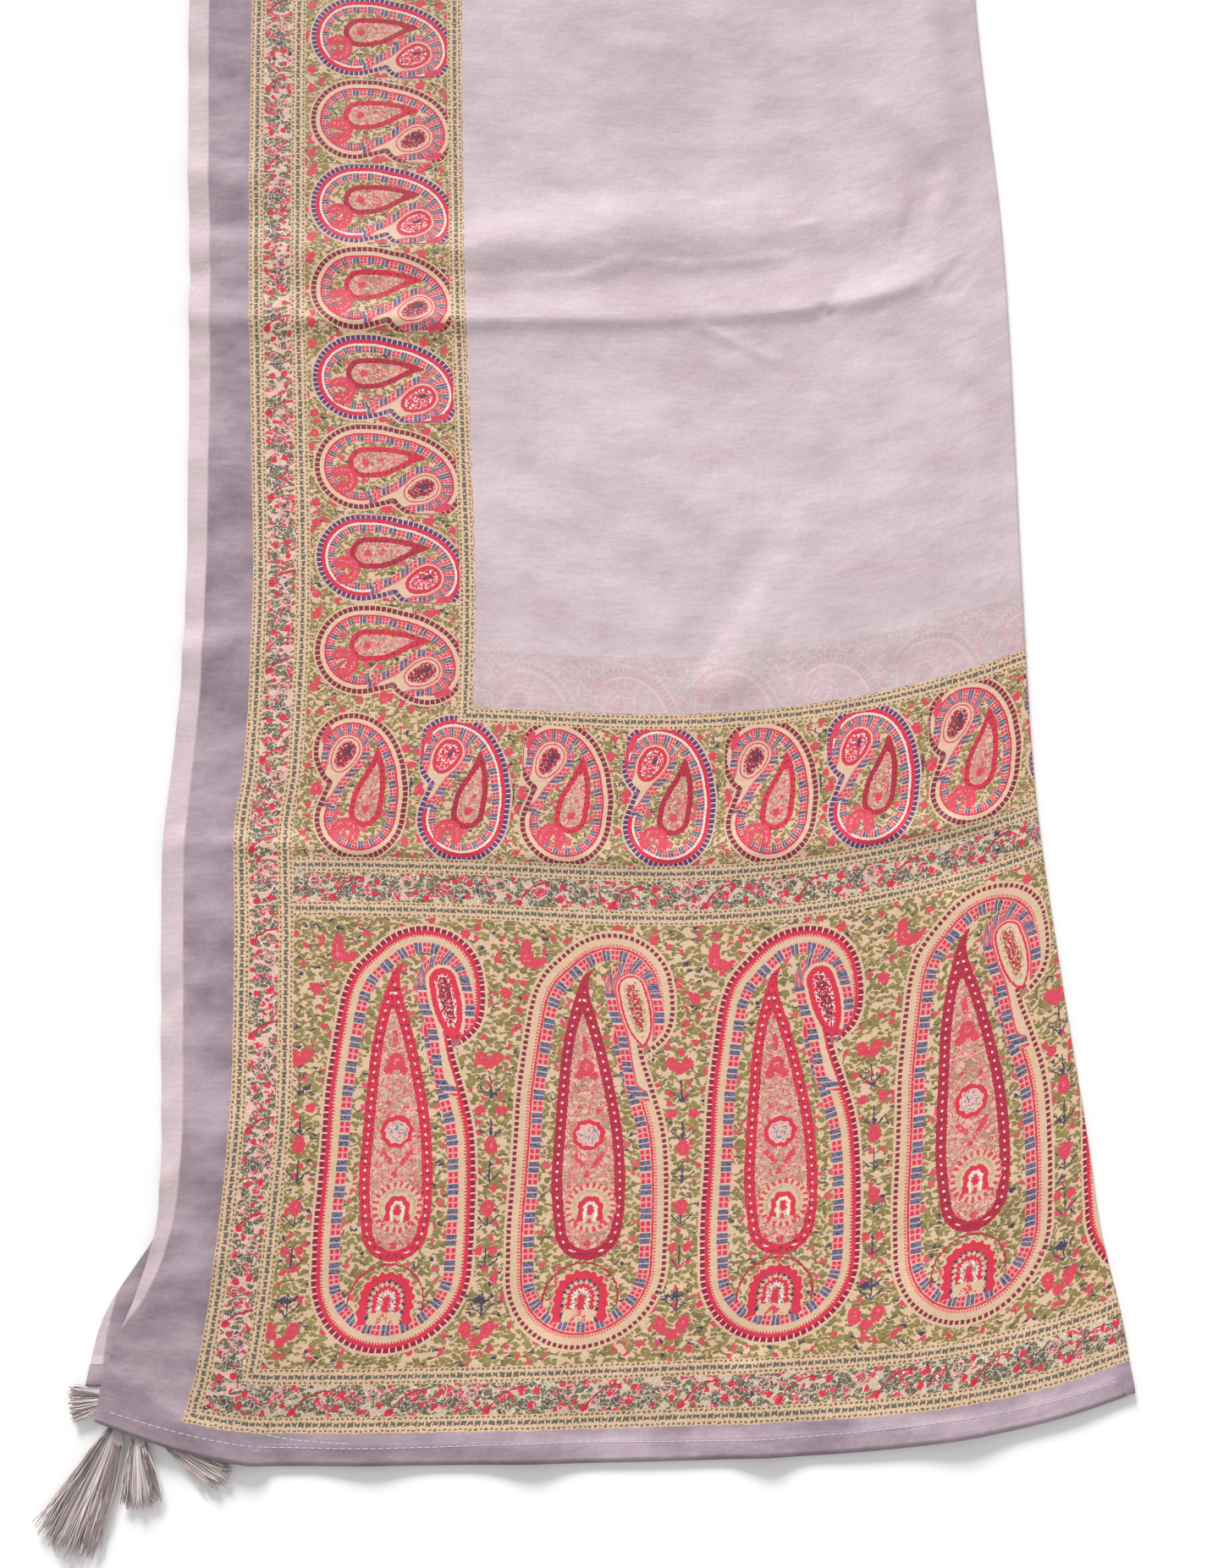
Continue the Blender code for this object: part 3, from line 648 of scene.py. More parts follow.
EDGE, WALKED, CURL, OVAL, TEARDROP, RED, BLUE, PLACE_Q, KIND = range(9)
# Each kind of paisley is a quarter of a colour ramp, written as the middle of that quarter
LARGE_KIND, SMALL_KIND, NEXT_KIND = 0.125, 0.625, 0.25
FIELDS = np.full((9, count), FAR_OFF)
FIELDS[KIND] = LARGE_KIND
mirror_b = np.minimum(PRINT_B, PRINT_LENGTH - PRINT_B)
mirror_a = np.minimum(PRINT_A, PRINT_WIDTH - PRINT_A)
SIDE_SPAN = (22, PRINT_WIDTH)
COLUMN_SIDE_SPAN = (22, 124)
GHOST_SIDE_SPAN = (118, PRINT_WIDTH)
PANEL_SPAN = (20, 262)
ROW_SPAN = (272, 361)
COLUMN_SPAN = (352, PRINT_LENGTH)
GHOST_SPAN = (361, 396)
GHOST_STEP = 18.0


def stamp(side_span, end_span, p, q, kinds, scale, shapes):
    """Stamps paisleys on the upper leaf, between two distances from the nearer side and two from the nearer
    end, where they lie nearer than what is stamped already."""
    from_side = (mirror_a > side_span[0]) & (mirror_a < side_span[1])
    from_end = (mirror_b > end_span[0]) & (mirror_b < end_span[1])
    where = np.flatnonzero((ACROSS < FOLD_END) & from_side & from_end)
    fields = np.array(paisley_fields(p[where], q[where], *shapes)) / scale
    old = FIELDS[:, where]
    nearer = fields[EDGE] < old[EDGE]
    merged = np.where(nearer, np.vstack([fields, kinds[where]]), old)
    for mark in (RED, BLUE):
        merged[mark] = np.minimum(fields[mark], old[mark])
    FIELDS[:, where] = merged


def nearest_centre(value, centres):
    index = np.clip(np.round((value - centres[0]) / (centres[1] - centres[0])), 0, len(centres) - 1)
    return value - (centres[0] + index * (centres[1] - centres[0])), index


p, index = nearest_centre(PRINT_A, BIG_CENTRES)
big_red = together(BIG_RED, leaning(GAP_RED, BIG_PITCH / 2), leaning(GAP_RED, -BIG_PITCH / 2))
big_blue = together(leaning(GAP_BLUE, BIG_PITCH / 2), leaning(GAP_BLUE, -BIG_PITCH / 2))
big_shapes = (BIG_OUTLINE, BIG_CURL, BIG_OVAL, BIG_TEARDROP, big_red, big_blue)
stamp(
    SIDE_SPAN, PANEL_SPAN, p, mirror_b - BIG_BASE,
    LARGE_KIND + NEXT_KIND * (index % 2), 1.0, big_shapes,
)
small_shapes = (
    SMALL_OUTLINE, SMALL_CURL, SMALL_OVAL, SMALL_TEARDROP, together(SMALL_RED), together(SMALL_BLUE),
)
p, index = nearest_centre(PRINT_A, ROW_CENTRES)
stamp(
    SIDE_SPAN, ROW_SPAN, p / ROW_STRETCH, mirror_b - ROW_BASE,
    SMALL_KIND + NEXT_KIND * (index % 2), SMALL_SCALE, small_shapes,
)
p, index = nearest_centre(mirror_b, COLUMN_CENTRES)
stamp(
    COLUMN_SIDE_SPAN, COLUMN_SPAN, p, (mirror_a - COLUMN_BASE) / COLUMN_STRETCH,
    SMALL_KIND + NEXT_KIND * (index % 2), SMALL_SCALE, small_shapes,
)
# The under leaf's row of small paisleys ghosts through the thin silk above the upper leaf's
p, index = nearest_centre(PRINT_A + GHOST_STEP, ROW_CENTRES)
stamp(
    GHOST_SIDE_SPAN, GHOST_SPAN, p, mirror_b - GHOST_SHIFT - ROW_BASE,
    SMALL_KIND + NEXT_KIND * (index % 2), SMALL_SCALE, small_shapes,
)

for name, columns in (
    ("paisley edge", (EDGE, WALKED, KIND)),
    ("paisley curl", (CURL, OVAL, TEARDROP)),
    ("paisley filling", (RED, BLUE, PLACE_Q)),
):
    carried = silk_mesh.attributes.new(name, "FLOAT_VECTOR", "POINT")
    carried.data.foreach_set("vector", np.stack([FIELDS[c] for c in columns], 1).astype(np.float32).ravel())
carried = silk_mesh.attributes.new("single layer", "FLOAT", "POINT")
strip_width = reading(station, INSET) * 1000 - 4.5 * np.exp(-(((station - 0.08) / 0.06) ** 2))
in_hem = np.minimum(ALONG, CLOTH_LENGTH - ALONG) < HEM_DEPTH
single_width = np.where(in_hem, -99.0, np.where(ACROSS <= FOLD_END, strip_width, 0.0))
carried.data.foreach_set("value", (EDGE_DISTANCE - single_width).astype(np.float32))
print_map = silk_mesh.uv_layers.new(name="print")
corners = np.empty(len(silk_mesh.loops), dtype=np.int32)
silk_mesh.loops.foreach_get("vertex_index", corners)
print_places = np.stack([PRINT_A, PRINT_B], 1)[corners] / 1000
print_map.data.foreach_set("uv", print_places.astype(np.float32).ravel())


# THE SILK AND ITS DYES
# Plain-woven light silk with a low, cloudy sheen, dyed grey-lilac and printed. The ground of the print is
# cream, and the colours sit in the cloth, so they share its weave and its sheen.
def dye(hex_colour):
    """An sRGB hex colour as the linear values that Blender's sockets take."""
    values = [int(hex_colour[k : k + 2], 16) / 255 for k in (0, 2, 4)]
    return (*[v / 12.92 if v <= 0.04045 else ((v + 0.055) / 1.055) ** 2.4 for v in values], 1.0)


def add(kind, links=(), **settings):
    """Adds a node with its settings to the tree in hand. Links maps sockets to values, sockets or nodes.
    A Map Range reads from 1 to 2 and gives 3 to 4, and a Mix blends 2 into 3 by 0."""
    node = tree.nodes.new(kind)
    for name, value in settings.items():
        setattr(node, name, value)
    for key, value in links.items() if isinstance(links, dict) else enumerate(links):
        if isinstance(value, bpy.types.Node):
            value = value.outputs[0]
        if isinstance(value, bpy.types.NodeSocket):
            tree.links.new(value, node.inputs[key])
        elif value is not None:
            node.inputs[key].default_value = value
    return node


def cloth_material(name):
    made = bpy.data.materials.new(name)
    made.use_nodes = True
    made.node_tree.nodes.clear()
    return made, made.node_tree


printed_silk, tree = cloth_material("printed silk, plain weave")


def where_all(*masks):
    """1 where every mask is 1."""
    found = masks[0]
    for mask in masks[1:]:
        found = add("ShaderNodeMath", (found, mask), operation="MULTIPLY")
    return found


def within(value, lowest, highest):
    """1 between the two values and 0 outside them."""
    middle = (lowest + highest) / 2
    return add("ShaderNodeMath", (value, middle, highest - middle), operation="COMPARE")


def dyed_with(ground, *dyes):
    """Lays dyes on a ground in turn, each a colour and the mask that it goes through."""
    for colour, mask in dyes:
        ground = add("ShaderNodeMixRGB", (mask, ground, colour))
    return ground


def repeat(value, pitch, lowest, highest):
    """1 over part of each repeat of a pattern, given as shares of its pitch."""
    turns = add("ShaderNodeMath", (value, pitch), operation="DIVIDE")
    return within(add("ShaderNodeMath", (turns,), operation="FRACT"), lowest, highest)


# A printing block's edges are never ruler-straight and its leaves are ragged, so places are pushed about
print_uv = add("ShaderNodeUVMap", uv_map="print")
in_mm = add("ShaderNodeVectorMath", {0: print_uv, "Scale": 1000.0}, operation="SCALE")


def unsettled(scale, push):
    """The print's places, each pushed up to half of push mm either way by a slow noise."""
    noise = add(
        "ShaderNodeTexNoise", {"Vector": in_mm, "Scale": scale, "Detail": 1.0}, noise_dimensions="2D"
    )
    centred = add("ShaderNodeVectorMath", (noise.outputs["Color"], (0.5, 0.5, 0.5)), operation="SUBTRACT")
    pushed = add("ShaderNodeVectorMath", {0: centred, "Scale": push}, operation="SCALE")
    return add("ShaderNodeVectorMath", (in_mm, pushed), operation="ADD")


placed = unsettled(0.45, 1.6)
ragged = unsettled(0.30, 4.0)
swirled = unsettled(0.20, 4.5)
split = add("ShaderNodeSeparateXYZ", (placed,))
a, b = split.outputs["X"], split.outputs["Y"]
a_other = add("ShaderNodeMath", (PRINT_WIDTH, a), operation="SUBTRACT")
b_other = add("ShaderNodeMath", (PRINT_LENGTH, b), operation="SUBTRACT")
a_side = add("ShaderNodeMath", (a, a_other), operation="MINIMUM")
b_end = add("ShaderNodeMath", (b, b_other), operation="MINIMUM")
inward = add("ShaderNodeMath", (a_side, b_end), operation="MINIMUM")
is_print = add("ShaderNodeMath", (inward, 0.0), operation="GREATER_THAN")

# The border's bands: round the print, above the deep panel, and a single stripe round the plain field
BAND = 30.0
MIDDLE_START = 251.5
INNER_SIDE = 108.0
INNER_END = 353.0
INNER_BAND = 8.0
STRIPE = 7.6
a_inner = add("ShaderNodeMath", (a_side, INNER_SIDE), operation="SUBTRACT")
b_inner = add("ShaderNodeMath", (b_end, INNER_END), operation="SUBTRACT")
inner = add("ShaderNodeMath", (a_inner, b_inner), operation="MINIMUM")
in_inner = within(inner, 0.0, INNER_BAND)
is_field = add("ShaderNodeMath", (inner, INNER_BAND), operation="GREATER_THAN")
in_around = within(inward, 0.0, BAND)
inside_border = add("ShaderNodeMath", (a_side, BAND), operation="GREATER_THAN")
in_middle = where_all(within(b_end, MIDDLE_START, MIDDLE_START + BAND), inside_border)
over_middle = add("ShaderNodeMath", (b_end, MIDDLE_START), operation="SUBTRACT")
over_around, over_middle = where_all(inward, in_around), where_all(over_middle, in_middle)
over = add("ShaderNodeMath", (over_around, over_middle), operation="ADD")
over = add("ShaderNodeMath", (over, where_all(inner, in_inner)), operation="ADD")
across_band = add("ShaderNodeMath", (over, BAND / 2), operation="PINGPONG")
up_border = where_all(in_around, add("ShaderNodeMath", (a_side, b_end), operation="LESS_THAN"))
up_inner = where_all(in_inner, add("ShaderNodeMath", (a_inner, b_inner), operation="LESS_THAN"))
upright = add("ShaderNodeMath", (up_border, up_inner), operation="MAXIMUM")
along_band = add("ShaderNodeMix", {0: upright, 2: a, 3: b}, data_type="FLOAT")
in_bands = add("ShaderNodeMath", (in_around, in_middle), operation="MAXIMUM")
in_bands = add("ShaderNodeMath", (in_bands, in_inner), operation="MAXIMUM")
is_stripe = where_all(in_bands, add("ShaderNodeMath", (across_band, STRIPE), operation="LESS_THAN"))
is_creeper = where_all(in_bands, add("ShaderNodeMath", (across_band, STRIPE), operation="GREATER_THAN"))

CREAM = dye("DDBB9B")
CREAM_PALE = dye("E2BFA4")
CREAM_PINK = dye("E2B4A8")
OLIVE = dye("9C8C56")
OLIVE_DEEP = dye("7E7042")
GREY_GREEN = dye("6C6658")
CRIMSON = dye("D8344C")
CRIMSON_DEEP = dye("BA2C44")
MAROON = dye("842A3C")
PINK = dye("E89696")
ROSE = dye("DA5868")
SLATE_BLUE = dye("74708E")
INDIGO = dye("48425C")
PURPLE = dye("623C6C")
WHITE = dye("F2E0D8")

# Cream ground with ragged leaves a few millimetres long, leaning both ways, and small crimson flowers
soft_noise, fine_noise = (
    add("ShaderNodeTexNoise", {"Vector": placed, "Scale": scale, "Detail": detail}, noise_dimensions="2D")
    for scale, detail in ((0.06, 3.0), (0.9, 2.0))
)
ground = dyed_with(CREAM, (CREAM_PALE, soft_noise))

# The leaves are finer round the small paisleys than in the deep panel
in_rows = add("ShaderNodeMath", (b_end, MIDDLE_START), operation="GREATER_THAN")
finer = add("ShaderNodeMapRange", {"Value": in_rows, 3: 1.0, 4: 1.35})
leafy_place = add("ShaderNodeVectorMath", {0: ragged, "Scale": finer}, operation="SCALE")


def leaf_dabs(place, angle, length, width, size, share, seed):
    """Dabs of dye in cells of length by width mm, and a shade for each cell. Size is the dab's radius in
    its cell, and share is how many of the cells have one."""
    turned = add(
        "ShaderNodeMapping",
        {"Vector": place, "Location": (seed, seed * 1.7, 0.0), "Rotation": (0.0, 0.0, math.radians(angle)),
         "Scale": (1 / length, 1 / width, 1.0)},
    )
    cells = add(
        "ShaderNodeTexVoronoi", {"Vector": turned, "Scale": 1.0, "Randomness": 0.8}, voronoi_dimensions="2D"
    )
    pick = add("ShaderNodeSeparateXYZ", (cells.outputs["Color"],))
    near = add("ShaderNodeMath", (cells.outputs["Distance"], size), operation="LESS_THAN")
    chosen = add("ShaderNodeMath", (pick.outputs["X"], share), operation="LESS_THAN")
    return where_all(near, chosen), pick.outputs["Y"]


leaves_right, shade_right = leaf_dabs(leafy_place, 52, 3.6, 2.1, 0.44, 0.78, 3.0)
leaves_left, shade_left = leaf_dabs(leafy_place, -40, 3.4, 2.0, 0.42, 0.55, 11.0)
flower_size = add("ShaderNodeMapRange", {"Value": in_rows, 3: 0.20, 4: 0.23})
small_flowers, _ = leaf_dabs(ragged, 12, 7.4, 7.4, flower_size, 0.50, 29.0)
blue_specks, _ = leaf_dabs(ragged, 70, 5.5, 1.8, 0.28, 0.11, 47.0)
inner_leaves, inner_shade = leaf_dabs(leafy_place, 38, 3.0, 2.1, 0.49, 0.84, 61.0)
red_tone = dyed_with(CRIMSON, (ROSE, fine_noise))
open_ground = dyed_with(
    ground,
    (dyed_with(OLIVE, (OLIVE_DEEP, shade_left)), leaves_left),
    (dyed_with(OLIVE, (OLIVE_DEEP, shade_right)), leaves_right),
    (INDIGO, blue_specks),
    (red_tone, small_flowers),
)
inner_ground = dyed_with(
    ground,
    (dyed_with(OLIVE, (OLIVE_DEEP, inner_shade)), inner_leaves),
    (INDIGO, blue_specks),
    (ROSE, small_flowers),
)

# The paisleys: bands of colour by how far inside the outline a point lies, and patterns by how far along it
field_names = ("paisley edge", "paisley curl", "paisley filling")
carriers = [add("ShaderNodeAttribute", attribute_name=name).outputs["Vector"] for name in field_names]
edge_field, curl_field, fill_field = (add("ShaderNodeSeparateXYZ", (c,)).outputs for c in carriers)
jitter = add("ShaderNodeMapRange", {"Value": fine_noise, 3: -0.55, 4: 0.55})
walked, kind, up = edge_field["Y"], edge_field["Z"], fill_field["Z"]
inside = add("ShaderNodeMath", (jitter, edge_field["X"]), operation="SUBTRACT")
curl, oval, teardrop = (add("ShaderNodeMath", (curl_field[k], jitter), operation="ADD") for k in "XYZ")
red, blue = (add("ShaderNodeMath", (jitter, 2.2, fill_field[k]), operation="MULTIPLY_ADD") for k in "XY")


def by_kind(*colours):
    """One colour for each kind of paisley: large crimson, large maroon, small maroon, small purple."""
    ramp = add("ShaderNodeValToRGB", (kind,))
    ramp.color_ramp.interpolation = "CONSTANT"
    while len(ramp.color_ramp.elements) < len(colours):
        ramp.color_ramp.elements.new(1.0)
    for k, colour in enumerate(colours):
        ramp.color_ramp.elements[k].position = k / 4
        ramp.color_ramp.elements[k].color = colour
    return ramp


def size_by_kind(*sizes):
    """One size in mm for each kind of paisley, carried by the same ramp as its colours."""
    ramp = by_kind(*((size / 20, size / 20, size / 20, 1.0) for size in sizes))
    return add("ShaderNodeMath", (ramp, 20.0), operation="MULTIPLY")


def between_depths(starts, ends):
    """1 between two depths inside the outline, given for each kind. Equal depths give nothing."""
    past = add("ShaderNodeMath", (inside, size_by_kind(*starts)), operation="GREATER_THAN")
    short = add("ShaderNodeMath", (inside, size_by_kind(*ends)), operation="LESS_THAN")
    return where_all(past, short)


RIM_DEPTH = 3.6
CHECK_DEPTHS = (8.3, 13.6)
CURL_WIDTH = 4.8
CHECK_PITCH = 12.6
in_paisley = add("ShaderNodeMath", (inside, 0.0), operation="GREATER_THAN")
past_rim = add("ShaderNodeMath", (inside, RIM_DEPTH), operation="GREATER_THAN")
is_large = add("ShaderNodeMath", (kind, 0.5), operation="LESS_THAN")
is_first_kind = add("ShaderNodeMath", (kind, 0.25), operation="LESS_THAN")
weave_break = add("ShaderNodeMath", (fine_noise, 0.46), operation="GREATER_THAN")
much_broken = add("ShaderNodeMath", (fine_noise, 0.56), operation="GREATER_THAN")
dash_turns = add("ShaderNodeMath", (walked, size_by_kind(3.4, 3.0, 4.2, 4.0)), operation="DIVIDE")
dash_share = add("ShaderNodeMath", (dash_turns,), operation="FRACT")
dash_band = between_depths((0, 0, 0, 0), (2.3, 2.1, 3.7, 3.5))
dashes = add("ShaderNodeMath", (dash_share, size_by_kind(0.66, 0.64, 0.82, 0.84)), operation="LESS_THAN")
comb_band = between_depths((4.2, 5.4, 9, 9), (5.2, 6.7, 9, 9))
curl_band = where_all(within(curl, 0.0, CURL_WIDTH), past_rim)
off_curl = add("ShaderNodeMath", (curl, 0.0), operation="GREATER_THAN")
edge_band = where_all(within(inside, *CHECK_DEPTHS), off_curl)
check = add("ShaderNodeMath", (edge_band, curl_band), operation="MAXIMUM")
below_top = add("ShaderNodeMath", (up, size_by_kind(141, 141, 46, 46)), operation="LESS_THAN")
down_curl = where_all(curl_band, below_top)
check_along = add("ShaderNodeMix", {0: down_curl, 2: walked, 3: up}, data_type="FLOAT")
check_start, check_end = CHECK_DEPTHS
band_rows = add("ShaderNodeMapRange", {"Value": inside, 1: check_start, 2: check_end, 3: 0.0, 4: 2.0})
curl_rows = add("ShaderNodeMapRange", {"Value": curl, 1: 0.0, 2: CURL_WIDTH, 3: 0.0, 4: 2.0})
check_rows = add("ShaderNodeMix", {0: curl_band, 2: band_rows, 3: curl_rows}, data_type="FLOAT")
blue_checks = repeat(check_along, CHECK_PITCH, 0.02, 0.46)
red_checks = repeat(check_along, CHECK_PITCH, 0.50, 0.96)
red_squares = where_all(
    repeat(check_along, CHECK_PITCH / 4, 0.0, 0.70), repeat(check_rows, 1.0, 0.12, 0.80)
)
check_colour = dyed_with(
    CREAM_PALE,
    (SLATE_BLUE, blue_checks),
    (INDIGO, where_all(blue_checks, much_broken)),
    (CREAM_PINK, repeat(check_along, CHECK_PITCH, 0.22, 0.265)),
    (PINK, red_checks),
    (CRIMSON, where_all(red_checks, red_squares)),
)
in_ring = where_all(add("ShaderNodeMath", (curl, 0.0), operation="LESS_THAN"), past_rim)
ring_edge = where_all(
    in_ring, within(curl, -1.0, 0.0), add("ShaderNodeMath", (kind, 0.3), operation="GREATER_THAN")
)
in_oval = [add("ShaderNodeMath", (oval, edge), operation="LESS_THAN") for edge in (0.0, -1.1, -2.9, -4.3)]
veins = add(
    "ShaderNodeTexVoronoi", {"Vector": ragged, "Scale": 0.36},
    voronoi_dimensions="2D", feature="DISTANCE_TO_EDGE",
)
filigree = add("ShaderNodeMath", (veins, 0.10), operation="LESS_THAN")
teardrop_edge = add("ShaderNodeMath", (teardrop, size_by_kind(5.4, 5.4, 4.2, 4.2)), operation="ADD")
in_teardrop = add("ShaderNodeMath", (teardrop_edge, 0.0), operation="LESS_THAN")
teardrop_band = where_all(
    add("ShaderNodeMath", (teardrop_edge, 0.0), operation="GREATER_THAN"),
    add("ShaderNodeMath", (teardrop, 0.0), operation="LESS_THAN"),
)
paisley = dyed_with(
    open_ground,
    (CREAM, within(inside, -1.3, 0.0)),
    (inner_ground, in_paisley),
    (by_kind(CREAM, CREAM, CREAM_PALE, CREAM_PALE), within(inside, 0.0, 8.6)),
    (CRIMSON, between_depths((0, 9, 9, 3.4), (4.2, 9, 9, 6.6))),
    (by_kind(CRIMSON, ROSE, ROSE, ROSE), where_all(comb_band, repeat(walked, 1.7, 0.0, 0.5))),
    (by_kind(CREAM, CRIMSON, CRIMSON, WHITE), between_depths((9, 6.9, 6.8, 6.6), (9, 8.0, 8.3, 7.8))),
    (by_kind(CRIMSON, CREAM, CREAM, WHITE), dash_band),
    (by_kind(MAROON, MAROON, MAROON, PURPLE), where_all(dash_band, dashes)),
    (WHITE, where_all(is_first_kind, dash_band, within(dash_share, 0.78, 0.93))),
    (check_colour, check),
    (CREAM_PALE, in_ring),
    (ROSE, ring_edge),
    (by_kind(CRIMSON, CRIMSON, ROSE, CRIMSON), in_oval[0]),
    (by_kind(CRIMSON, CREAM_PALE, CREAM_PALE, CRIMSON), in_oval[1]),
    (by_kind(CRIMSON, CREAM_PALE, CRIMSON_DEEP, WHITE), in_oval[2]),
    (by_kind(CRIMSON, CREAM_PALE, CRIMSON, INDIGO), where_all(in_oval[2], much_broken)),
    (by_kind(WHITE, OLIVE, CREAM_PINK, CRIMSON), where_all(in_oval[2], filigree)),
    (by_kind(MAROON, CRIMSON_DEEP, MAROON, CRIMSON), where_all(in_oval[3], weave_break)),
    (CREAM_PINK, where_all(in_teardrop, soft_noise)),
    (red_tone, where_all(in_teardrop, filigree, weave_break)),
    (by_kind(CRIMSON, CRIMSON_DEEP, CRIMSON, CRIMSON_DEEP), teardrop_band),
    (MAROON, where_all(teardrop_band, repeat(up, 4.4, 0.35, 0.95), much_broken)),
    (WHITE, where_all(is_large, within(teardrop, -3.1, -2.2), repeat(up, 4.4, 0.0, 0.26))),
)

# The large paisleys' round figures, drawn from each one's own place: a fan, a wheel, a hub and a medallion
p_here = add("ShaderNodeMath", (a, BIG_CENTRES[0]), operation="SUBTRACT")
p_here = add("ShaderNodeMath", (p_here, BIG_PITCH / 2, -BIG_PITCH / 2), operation="WRAP")
q_here = add("ShaderNodeMath", (b_end, BIG_BASE), operation="SUBTRACT")
in_panel = where_all(within(b_end, BAND, MIDDLE_START), inside_border)
in_large = where_all(in_panel, in_paisley)
place_here = add("ShaderNodeCombineXYZ", (p_here, q_here))


def round_figure(p, q, petals, swing, foot=-99.0):
    """How far a point is from a figure's centre, scalloped into petals, and a wave that is high on each.
    Below its foot the figure goes straight down, as a horseshoe does."""
    offset = add("ShaderNodeVectorMath", (place_here, (p, q, 0.0)), operation="SUBTRACT")
    sides = add("ShaderNodeSeparateXYZ", (offset,))
    raised = add("ShaderNodeMath", (sides.outputs["Y"], foot), operation="MAXIMUM")
    bent = add("ShaderNodeCombineXYZ", (sides.outputs["X"], raised))
    away = add("ShaderNodeVectorMath", (bent,), operation="LENGTH").outputs["Value"]
    turn = add("ShaderNodeMath", (sides.outputs["Y"], sides.outputs["X"]), operation="ARCTAN2")
    turns = add("ShaderNodeMath", (turn, petals), operation="MULTIPLY")
    wave = add("ShaderNodeMath", (turns,), operation="SINE")
    return add("ShaderNodeMath", (wave, -swing, away), operation="MULTIPLY_ADD"), wave


fan, fan_wave = round_figure(-0.4, -13.4, 18, 0.6, 0.0)
in_fan = where_all(in_large, add("ShaderNodeMath", (q_here, -25.5), operation="GREATER_THAN"))
in_fan_heart = where_all(in_large, add("ShaderNodeMath", (q_here, -19.5), operation="GREATER_THAN"))
fan_petal = add("ShaderNodeMath", (fan_wave, 0.1), operation="GREATER_THAN")
arch, _ = round_figure(-0.8, -15.0, 1, 0.0)
in_arch = where_all(in_large, add("ShaderNodeMath", (q_here, -18.0), operation="GREATER_THAN"))
wheel, wheel_wave = round_figure(0.3, 31.0, 22, 0.3)
wheel_petal = add("ShaderNodeMath", (wheel_wave, 0.0), operation="GREATER_THAN")
hub, _ = round_figure(0.3, 30.5, 7, 0.3, 0.0)
in_hub = where_all(in_large, add("ShaderNodeMath", (q_here, 24.0), operation="GREATER_THAN"))
in_hub_heart = where_all(in_large, add("ShaderNodeMath", (q_here, 27.0), operation="GREATER_THAN"))
medallion, _ = round_figure(-3.3, 68.0, 9, 0.3)
figures = dyed_with(
    paisley,
    (CRIMSON_DEEP, where_all(in_arch, within(arch, 18.0, 18.9))),
    (CREAM, where_all(in_fan, within(fan, -1.0, 14.0))),
    (CRIMSON, where_all(in_fan, within(fan, 8.8, 13.2))),
    (INDIGO, where_all(in_fan, within(fan, 7.2, 8.8), fan_petal)),
    (CRIMSON, where_all(in_fan_heart, within(fan, 4.4, 6.8))),
    (WHITE, where_all(in_fan_heart, within(fan, 2.6, 4.2))),
    (INDIGO, where_all(in_fan_heart, within(fan, 2.0, 3.8), much_broken)),
    (CRIMSON, where_all(in_fan_heart, within(fan, -1.0, 1.9))),
    (CREAM, where_all(in_large, within(wheel, -1.0, 12.6))),
    (red_tone, where_all(in_large, within(wheel, 9.6, 12.4), wheel_petal)),
    (dyed_with(OLIVE, (CREAM_PINK, soft_noise)), where_all(in_large, within(wheel, 7.4, 9.2), weave_break)),
    (CRIMSON, where_all(in_hub, within(hub, 3.6, 6.2))),
    (WHITE, where_all(in_hub, within(hub, 2.2, 3.2))),
    (CRIMSON, where_all(in_hub_heart, within(hub, -1.0, 1.6))),
    (CREAM_PINK, where_all(in_large, within(medallion, -1.0, 5.8))),
    (SLATE_BLUE, where_all(in_large, within(medallion, -1.0, 5.0), filigree)),
    (WHITE, where_all(in_large, within(medallion, -1.0, 5.0), filigree, much_broken)),
    (CRIMSON, where_all(in_large, within(medallion, 5.8, 8.0))),
)

# Between the large paisleys an indigo stem rises, with a pair of twigs at each step
TWIG_PITCH = 21.5
lean = add("ShaderNodeMath", (q_here, LEAN, LEAN * 39), operation="MULTIPLY_ADD")
from_stem = add("ShaderNodeMath", (p_here, lean), operation="ADD")
from_stem = add("ShaderNodeMath", (from_stem, BIG_PITCH / 2), operation="SUBTRACT")
from_stem = add("ShaderNodeMath", (from_stem, BIG_PITCH / 2, -BIG_PITCH / 2), operation="WRAP")
off_stem = add("ShaderNodeMath", (from_stem,), operation="ABSOLUTE")
twig_height = add("ShaderNodeMath", (off_stem, -0.9, q_here), operation="MULTIPLY_ADD")
twigs = where_all(within(off_stem, 0.0, 6.0), repeat(twig_height, TWIG_PITCH, 0.0, 0.040))
stem_pieces = where_all(within(off_stem, -0.1, 0.40), repeat(q_here, TWIG_PITCH, 0.0, 0.52))
stems = add("ShaderNodeMath", (stem_pieces, twigs), operation="MAXIMUM")
in_gap = where_all(in_panel, within(q_here, -34.0, 98.0), within(inside, -60.0, -1.5))
panel_print = dyed_with(
    figures,
    (INDIGO, where_all(in_gap, stems)),
    (red_tone, add("ShaderNodeMath", (red, 0.0), operation="LESS_THAN")),
    (PINK, where_all(add("ShaderNodeMath", (red, -1.9), operation="LESS_THAN"), much_broken)),
    (INDIGO, add("ShaderNodeMath", (blue, 0.0), operation="LESS_THAN")),
)

